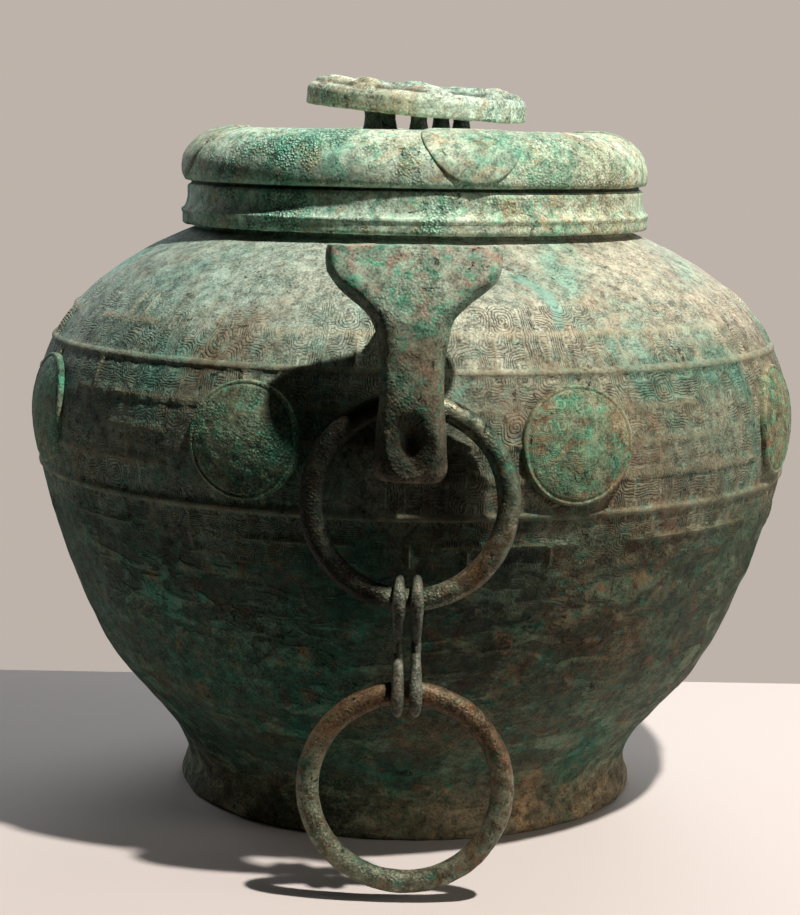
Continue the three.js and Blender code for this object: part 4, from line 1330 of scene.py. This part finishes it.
def coil_weights(points):
    """Worn coils on the rim: long bumps that lie aslant, each one of its own height."""
    choice = np.random.default_rng(COIL_SEED)
    weights = np.zeros(len(points))
    angle = np.arctan2(points[:, 1], points[:, 0])
    reach = np.hypot(points[:, 0], points[:, 1])
    for number in range(KNOB_COILS):
        middle = (number + 0.5) * 2 * math.pi / KNOB_COILS + choice.uniform(-COIL_STRAY, COIL_STRAY)
        off = (angle - middle + math.pi) % (2 * math.pi) - math.pi
        along = off * reach / COIL_REACH[0]
        across = (reach - COIL_CIRCLE - COIL_SLANT * along) / COIL_REACH[1]
        far = np.hypot(along, across)
        groove = 0.5 + 0.5 * np.cos(2 * math.pi * KNOB_COIL_TURNS * far - np.arctan2(across, along))
        lump = np.clip(1.25 - far**2, 0, 1) ** 0.5 * (1 - COIL_GROOVE * groove)
        weights = np.maximum(weights, lump * choice.uniform(COIL_LOWEST, 1.0))
    weights[points[:, 2] < 0.6 * KNOB_THICKNESS] = 0
    return weights


knob = turned("knob_cast", knob_outline(), KNOB_STEPS)
knob_points = places(knob)
coil_lift = coil_weights(knob_points)
weigh(knob, "coils", coil_lift)
# Painted shade: the top between the coils is darkened through this 'hollow' number.
hollow = (1 - np.clip(1.4 * coil_lift, 0, 1)) * (knob_points[:, 2] > 0.7 * KNOB_THICKNESS)
hollow *= np.hypot(knob_points[:, 0], knob_points[:, 1]) < 0.93 * KNOB_RADIUS
mark(knob, "hollow", hollow)
push_out(knob, COIL_HEIGHT, "coils")
tilt = Matrix.Rotation(TILT_FRONT, 3, "X") @ Matrix.Rotation(TILT_RIGHT, 3, "Y")
set_places(knob, places(knob) @ np.array(tilt).T + np.array([0, 0, LID_TOP + KNOB_GAP]))
roughen(knob, *KNOB_DENTS)
roughen(knob, *KNOB_GRAIN)
smooth(knob, 60)
knob_finish = crusted("knob_crust_and_painted_shade", KNOB_CRUST, (0.42, 0.48, 0.5, 0.8, 0.6), 0.0008, painted_shade_tone=0.32)
dress(knob, "lid", "knob_disc", knob_finish)
print("knob disc:", len(knob.data.polygons), "faces")

# %% [markdown]
# One post is spun with a height of 1. Each copy is then stretched from the lid to the slope of the disc
# above it.

# %% Posts
POST_WAIST = 0.0052
POST_COUNT = 5
POST_TURN = math.radians(3)
POST_STEPS = 32
POST_ROW = 0.08
POST_DENTS = (0.0009, 0.007)
POST_CRUST = ((0.42, 0.46, 0.41), (0.08, 0.08, 0.07), (0.16, 0.25, 0.20), (0.22, 0.15, 0.10))
post_finish = crusted("post_crust", POST_CRUST, (0.45, 0.4, 0.4, 0.8, 0.4), 0.0005)
post_outline = [(0, 0), (1.12 * POST_RADIUS, 0), (POST_RADIUS, 0.1), (POST_WAIST, 0.45)]
post_outline += [(POST_WAIST, 0.6), (POST_RADIUS, 0.92), (1.1 * POST_RADIUS, 1), (0, 1)]
post = turned("post", with_rows(post_outline, POST_ROW), POST_STEPS)
for number in range(POST_COUNT):
    piece = copy_of(post, f"knob_post_{number + 1}_cast")
    turn = POST_TURN + number * 2 * math.pi / POST_COUNT
    points = places(piece)
    points[:, 0] += POST_CIRCLE * math.sin(turn)
    points[:, 1] -= POST_CIRCLE * math.cos(turn)
    under = LID_TOP + KNOB_GAP - math.tan(TILT_RIGHT) * points[:, 0] + math.tan(TILT_FRONT) * points[:, 1]
    points[:, 2] = LID_TOP - SEAT_GAP + (under - LID_TOP + 2 * SEAT_GAP) * points[:, 2]
    set_places(piece, points)
    roughen(piece, *POST_DENTS)
    smooth(piece, 50)
    dress(piece, "lid", f"knob_post_{number + 1}", post_finish)
drop(post)
print(POST_COUNT, "posts under the knob")

# %% [markdown]
# ## Beast-head handles
# A broad brow stands out under the lid and narrows to a strap that hooks over the ring, with a dished jaw at
# its end. Closed sections are drawn one over the other, bridged into a skin and rounded by subdivision, as a
# wax model would be. The rows below give heights over the ring's bar, each with a size, in millimetres.

# %% Handle sections
ring_low, ring_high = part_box("upper_ring_front")
RING_BAR = (ring_high.y - ring_low.y) / 2
RING_HEIGHT = ring_high.z - RING_BAR
STRAP_OUT = 0.2601
HANDLE_ROWS = (
    -40.5, -39.8, -37, -32, -25, -17, -8, 2, 12, 22, 32, 40, 46, 52, 58, 64, 70, 76, 81, 83.6, 84.4,
)
HALF_WIDTHS = (
    (-40.5, 13), (-39.8, 15.5), (-37, 18.8), (-32, 20.2), (-20, 19.2), (0, 17.3), (25, 17.2),
    (45.5, 21), (56, 33), (64, 43), (70, 46.8), (78, 47.6), (83, 46.6), (84.5, 45),
)
FACE_WIDTHS = (
    (-40.5, 8), (-39.8, 10), (-37, 13.5), (-32, 15.5), (0, 13.6), (30, 13), (45.5, 14.5),
    (56, 22.5), (64, 34), (70, 40.5), (84.5, 43.5),
)
BACKS = ((-40.5, 261.1), (0, 260.1), (45.5, 252.4), (84.5, 238.1))
DEPTHS = ((-40.5, 6), (-39.8, 7), (-32, 9.5), (-15, 13.5), (5, 16), (45.5, 17), (70, 15), (84.5, 13))
MILLIMETRE = 0.001


def size_at(table, height):
    return np.interp(height, [row[0] for row in table], [row[1] for row in table])


def head_section(height):
    """The outline of the handle at a height: a flat back, rounded flanks and a slightly full face."""
    wide = size_at(HALF_WIDTHS, height)
    face = size_at(FACE_WIDTHS, height)
    back = size_at(BACKS, height)
    depth = size_at(DEPTHS, height)
    half = [(0.9 * wide, 0), (wide, 0.16), (wide, 0.36), (face + 0.4 * (wide - face), 0.7), (face, 0.87)]
    half += [(0.72 * face, 0.97), (0.25 * face, 1.03)]
    loop = half + [(-x, share) for x, share in reversed(half)]
    points = [(x, -(back + share * depth), RING_HEIGHT / MILLIMETRE + height) for x, share in loop]
    return np.array(points) * MILLIMETRE


def skinned(name, sections):
    """Bridges a row of closed sections, each a ring of points, into one closed form."""
    loops = []
    for section in sections:
        clear_selection()
        bpy.ops.mesh.primitive_circle_add(vertices=len(section), fill_type="NOTHING")
        set_places(bpy.context.object, section)
        loops.append(bpy.context.object)
    piece = joined(name, *loops)
    bpy.ops.object.mode_set(mode="EDIT")
    bpy.ops.mesh.select_all(action="SELECT")
    bpy.ops.mesh.bridge_edge_loops()
    bpy.ops.mesh.select_all(action="SELECT")
    bpy.ops.mesh.fill_holes(sides=0)
    bpy.ops.mesh.select_all(action="SELECT")
    bpy.ops.mesh.normals_make_consistent(inside=False)
    bpy.ops.object.mode_set(mode="OBJECT")
    return piece


def subdivide(piece, levels):
    modifier = piece.modifiers.new("round", "SUBSURF")
    modifier.levels = levels
    modifier.render_levels = levels
    apply_modifier(piece, modifier)


head = skinned("handle_front_cast", [head_section(height) for height in HANDLE_ROWS])
subdivide(head, 3)
print("handle skin:", len(head.data.polygons), "faces")

# %% [markdown]
# The jaw's dish is pressed into the strap's end, with a lip round it, and a leg and a root join the handle to
# the belly and to the shoulder.

# %% Dish, leg and root
DISHES = ((0.0, 0.2590, 0.0122, 0.0180, 0.0032), (-0.001, 0.2555, 0.0058, 0.0125, 0.0014))
RIM_PROUD = 0.0008
RIM_REACH = 1.12
RIM_SPREAD = 0.13
RIM_TOP = 0.006
FACE_START = 0.004
FACE_FADE = 0.003
BAR_SIDES = 40
BAR_EDGE = 0.0015
LEG_HALVES = (0.011, 0.0096)
LEG_ENDS = (STRAP_OUT + 0.005, BELLY_RADIUS - 0.003)
ROOT_HALVES = (0.015, 0.011)
LEG_HEIGHT = 0.2603
ROOT_TOP = (0.2528, 0.345)
ROOT_FOOT = (0.1928, 0.305)


def oval_reach(points, middle, height, half_width, half_height):
    """How far points of the face lie from the middle of an oval: 1 on its edge."""
    return np.hypot((points[:, 0] - middle) / half_width, (points[:, 2] - height) / half_height)


def press_dish(piece):
    """Presses a dish into the jaw and a hollow into the dish, with a rim below and beside it."""
    points = places(piece)
    front = np.clip((-points[:, 1] - STRAP_OUT - FACE_START) / FACE_FADE, 0, 1)
    for *oval, depth in DISHES:
        points[:, 1] += front * depth * np.clip(1 - oval_reach(points, *oval) ** 2, 0, 1) ** 1.5
    oval = DISHES[0][:4]
    rim = np.exp(-(((oval_reach(points, *oval) - RIM_REACH) / RIM_SPREAD) ** 2))
    rim *= points[:, 2] < oval[1] + RIM_TOP
    points[:, 1] -= front * RIM_PROUD * rim
    set_places(piece, points)


def oval_bar(name, start, end, half_width, half_height):
    """A bar from one point to another in the handle's plane, given as distance out and height."""
    run = Vector((0, start[0] - end[0], end[1] - start[1]))
    clear_selection()
    bpy.ops.mesh.primitive_cylinder_add(vertices=BAR_SIDES, radius=1, depth=run.length, end_fill_type="NGON")
    bar = bpy.context.object
    bar.name = name
    bar.scale = (half_width, half_height, 1)
    bpy.ops.object.transform_apply(scale=True)
    bar.rotation_euler = run.to_track_quat("Z", "Y").to_euler()
    bar.location = Vector((0, -start[0], start[1])) + run / 2
    bpy.ops.object.transform_apply()
    bpy.ops.object.mode_set(mode="EDIT")
    bpy.ops.mesh.select_all(action="SELECT")
    bpy.ops.mesh.bevel(offset=BAR_EDGE, segments=2, affect="EDGES")
    bpy.ops.object.mode_set(mode="OBJECT")
    return bar


press_dish(head)
leg = oval_bar("leg", (LEG_ENDS[0], LEG_HEIGHT), (LEG_ENDS[1], LEG_HEIGHT), *LEG_HALVES)
root = oval_bar("root", ROOT_TOP, ROOT_FOOT, *ROOT_HALVES)
head = joined("handle_front_cast", head, leg, root)
print("handle:", len(head.data.polygons), "faces")

# %% [markdown]
# The brow is grey-green, the strap browner and darkened with painted shade, the jaw nearly black with
# painted shade, and the lip below paler. The back handle is a copy of the front one, turned half round.

# %% Finish the handles
HANDLE_DENTS = (0.0020, 0.02)
HANDLE_GRAIN = (0.0004, 0.006)
HANDLE_CRUST = ((0.31, 0.36, 0.28), (0.04, 0.045, 0.045), (0.10, 0.31, 0.20), (0.33, 0.24, 0.18))
# The strap's crust is browner and also darkened with painted shade; the jaw's is nearly black with painted
# shade.
STRAP_CRUST_WITH_PAINTED_SHADE = ((0.16, 0.17, 0.115), (0.022, 0.02, 0.014), (0.055, 0.19, 0.12), (0.15, 0.105, 0.07))
LIP_CRUST = ((0.24, 0.20, 0.14), (0.06, 0.05, 0.035), (0.07, 0.10, 0.07), (0.22, 0.15, 0.09))
JAW_CRUST_IN_PAINTED_SHADE = ((0.075, 0.066, 0.045), (0.010, 0.009, 0.006), (0.022, 0.055, 0.038), (0.075, 0.048, 0.028))


def half_round(piece):
    points = places(piece)
    points[:, :2] *= -1
    set_places(piece, points)


handle_back = copy_of(head, "handle_back_cast")
half_round(handle_back)
# The strap and jaw zones below paint shade onto the lower handle; the brow and the lip keep their own crust.
handle_finish = crusted(
    "handle_crust_and_painted_shade",
    HANDLE_CRUST,
    (0.6, 0.62, 0.56, 0.4, 0.9),
    0.0008,
    zones=(
        (0.305, 0.335, 0.4, STRAP_CRUST_WITH_PAINTED_SHADE, 0.7),
        (0.252, 0.285, 0.4, JAW_CRUST_IN_PAINTED_SHADE, 0.6),
        (0.237, 0.247, 0.25, LIP_CRUST, 0.6),
    ),
)
for piece, side in ((head, "front"), (handle_back, "back")):
    roughen(piece, *HANDLE_DENTS)
    roughen(piece, *HANDLE_GRAIN)
    smooth(piece, 60)
    dress(piece, "vessel", f"handle_{side}", handle_finish)
print("two handles")

# %% [markdown]
# ## Rings
# The rings are round bars, a little uneven in thickness from wear. A torus is the start. Its bar is then
# flattened here and there by noise. The upper ring's left half gets a painted shadow of the handle.

# %% Rings
RING_RADIUS = ring_high.x - RING_BAR
RING_OUT = -(ring_low.y + ring_high.y) / 2
LOWER_RING_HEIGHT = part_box("lower_ring_front")[1].z - RING_BAR
RING_DENTS = (0.0012, 0.025)
RING_GRAIN = (0.0003, 0.006)
# Where the painted shadow on the upper ring's left half begins, and how fast it fades in.
SHADOW_START = -0.008
SHADOW_FADE = 0.012
RING_CRUST = ((0.195, 0.20, 0.138), (0.012, 0.011, 0.007), (0.03, 0.13, 0.085), (0.14, 0.085, 0.045))
COPPER_CRUST = ((0.15, 0.10, 0.06), (0.016, 0.010, 0.006), (0.05, 0.09, 0.05), (0.17, 0.085, 0.04))
ring_finish = crusted(
    "ring_crust_and_painted_shadow",
    RING_CRUST,
    (0.6, 0.5, 0.56, 0.45, 0.85),
    0.0010,
    zones=((0.125, 0.135, 1.0, COPPER_CRUST, 0.8), (0.07, 0.105, 1.0, RING_CRUST, 0.85)),
    metal=0.4,
    polish=0.7,
    painted_shade_tone=0.16,
)


def ring(name, height):
    clear_selection()
    bpy.ops.mesh.primitive_torus_add(
        major_radius=RING_RADIUS, minor_radius=RING_BAR, major_segments=200, minor_segments=36,
        rotation=(math.pi / 2, 0, 0), location=(0, -RING_OUT, height - RING_RADIUS),
    )
    piece = bpy.context.object
    piece.name = name
    bpy.ops.object.transform_apply()
    return piece


def paint_shadow_left(piece):
    """Marks the left half of a ring for a painted shadow of the handle, kept as its 'hollow' number."""
    mark(piece, "hollow", np.clip((SHADOW_START - places(piece)[:, 0]) / SHADOW_FADE, 0, 1))


for role, height in (("upper", RING_HEIGHT), ("lower", LOWER_RING_HEIGHT)):
    for side in SIDES:
        piece = ring(f"{role}_ring_{side}_bar", height)
        # Painted shadow: the handle's shade is painted on the upper ring's left half.
        if role == "upper":
            paint_shadow_left(piece)
        if side == "back":
            half_round(piece)
        roughen(piece, *RING_DENTS)
        roughen(piece, *RING_GRAIN)
        smooth(piece, 60)
        dress(piece, f"{role}_ring_{side}", f"{role}_ring_{side}", ring_finish)
print("four rings")

# %% [markdown]
# ## Figure-eight links
# Each link is a bar bent to two long eyes that meet in a pinched waist. Each eye starts as a torus whose
# round is drawn out towards the waist, and a short stem joins the two.

# %% Links
link_low, link_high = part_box("link_right_front")
LINK_HEIGHT = RING_HEIGHT - 2 * RING_RADIUS
LINK_PITCH = LINK_HEIGHT - LOWER_RING_HEIGHT
LINK_WIRE = (link_high.x - link_low.x) / 2
LINK_OFF = (link_low.x + link_high.x) / 2
WAIST_GAP = 0.0008
WAIST_PINCH = 0.3
EYE_FLATNESS = (1.18, 0.4)
STEM_HALVES = (0.9 * LINK_WIRE, 1.25 * LINK_WIRE, 0.0085)
LINK_DENTS = (0.0007, 0.012)
LINK_EYE = (link_high.y - link_low.y) / 2 - LINK_WIRE
LINK_SIDES = {"left": -LINK_OFF, "right": LINK_OFF}
LINK_CRUST = ((0.17, 0.17, 0.13), (0.04, 0.035, 0.026), (0.07, 0.13, 0.095), (0.15, 0.10, 0.06))
link_finish = crusted("link_crust", LINK_CRUST, (0.54, 0.4, 0.52, 0.6, 0.7), 0.0006, metal=0.3, polish=0.75)


def eye(end):
    """One eye in the upright plane of the link, drawn out from its round end to the waist."""
    clear_selection()
    bpy.ops.mesh.primitive_torus_add(
        major_radius=LINK_EYE, minor_radius=LINK_WIRE, major_segments=96, minor_segments=24,
        rotation=(0, math.pi / 2, 0),
    )
    bpy.ops.object.transform_apply()
    piece = bpy.context.object
    points = places(piece)
    angle = np.arctan2(points[:, 2] * end, points[:, 1])
    proud = np.hypot(points[:, 1], points[:, 2]) - LINK_EYE
    inward = np.clip(-np.sin(angle), 0, 1)
    stretch = (LINK_PITCH / 2 - LINK_WIRE - WAIST_GAP) / LINK_EYE - 1
    radius = LINK_EYE * (1 - WAIST_PINCH * inward**2)
    points[:, 1] = (radius + proud) * np.cos(angle)
    points[:, 2] = end * (LINK_PITCH / 2 + (LINK_EYE * (1 + stretch * inward) + proud) * np.sin(angle))
    points[:, 0] *= EYE_FLATNESS[0] - EYE_FLATNESS[1] * np.sin(angle) ** 2
    set_places(piece, points)
    return piece


def link(name, x):
    clear_selection()
    bpy.ops.mesh.primitive_uv_sphere_add(segments=24, ring_count=16, radius=1)
    stem = bpy.context.object
    set_places(stem, places(stem) * np.array(STEM_HALVES))
    piece = joined(name, stem, eye(1), eye(-1))
    set_places(piece, places(piece) + np.array([x, -RING_OUT, LINK_HEIGHT - LINK_PITCH / 2]))
    return piece


for role, x in LINK_SIDES.items():
    for side in SIDES:
        piece = link(f"link_{role}_{side}_bar", x)
        if side == "back":
            half_round(piece)
        roughen(piece, *LINK_DENTS)
        smooth(piece, 60)
        dress(piece, f"link_{role}_{side}", f"link_{role}_{side}", link_finish)
print("four links")
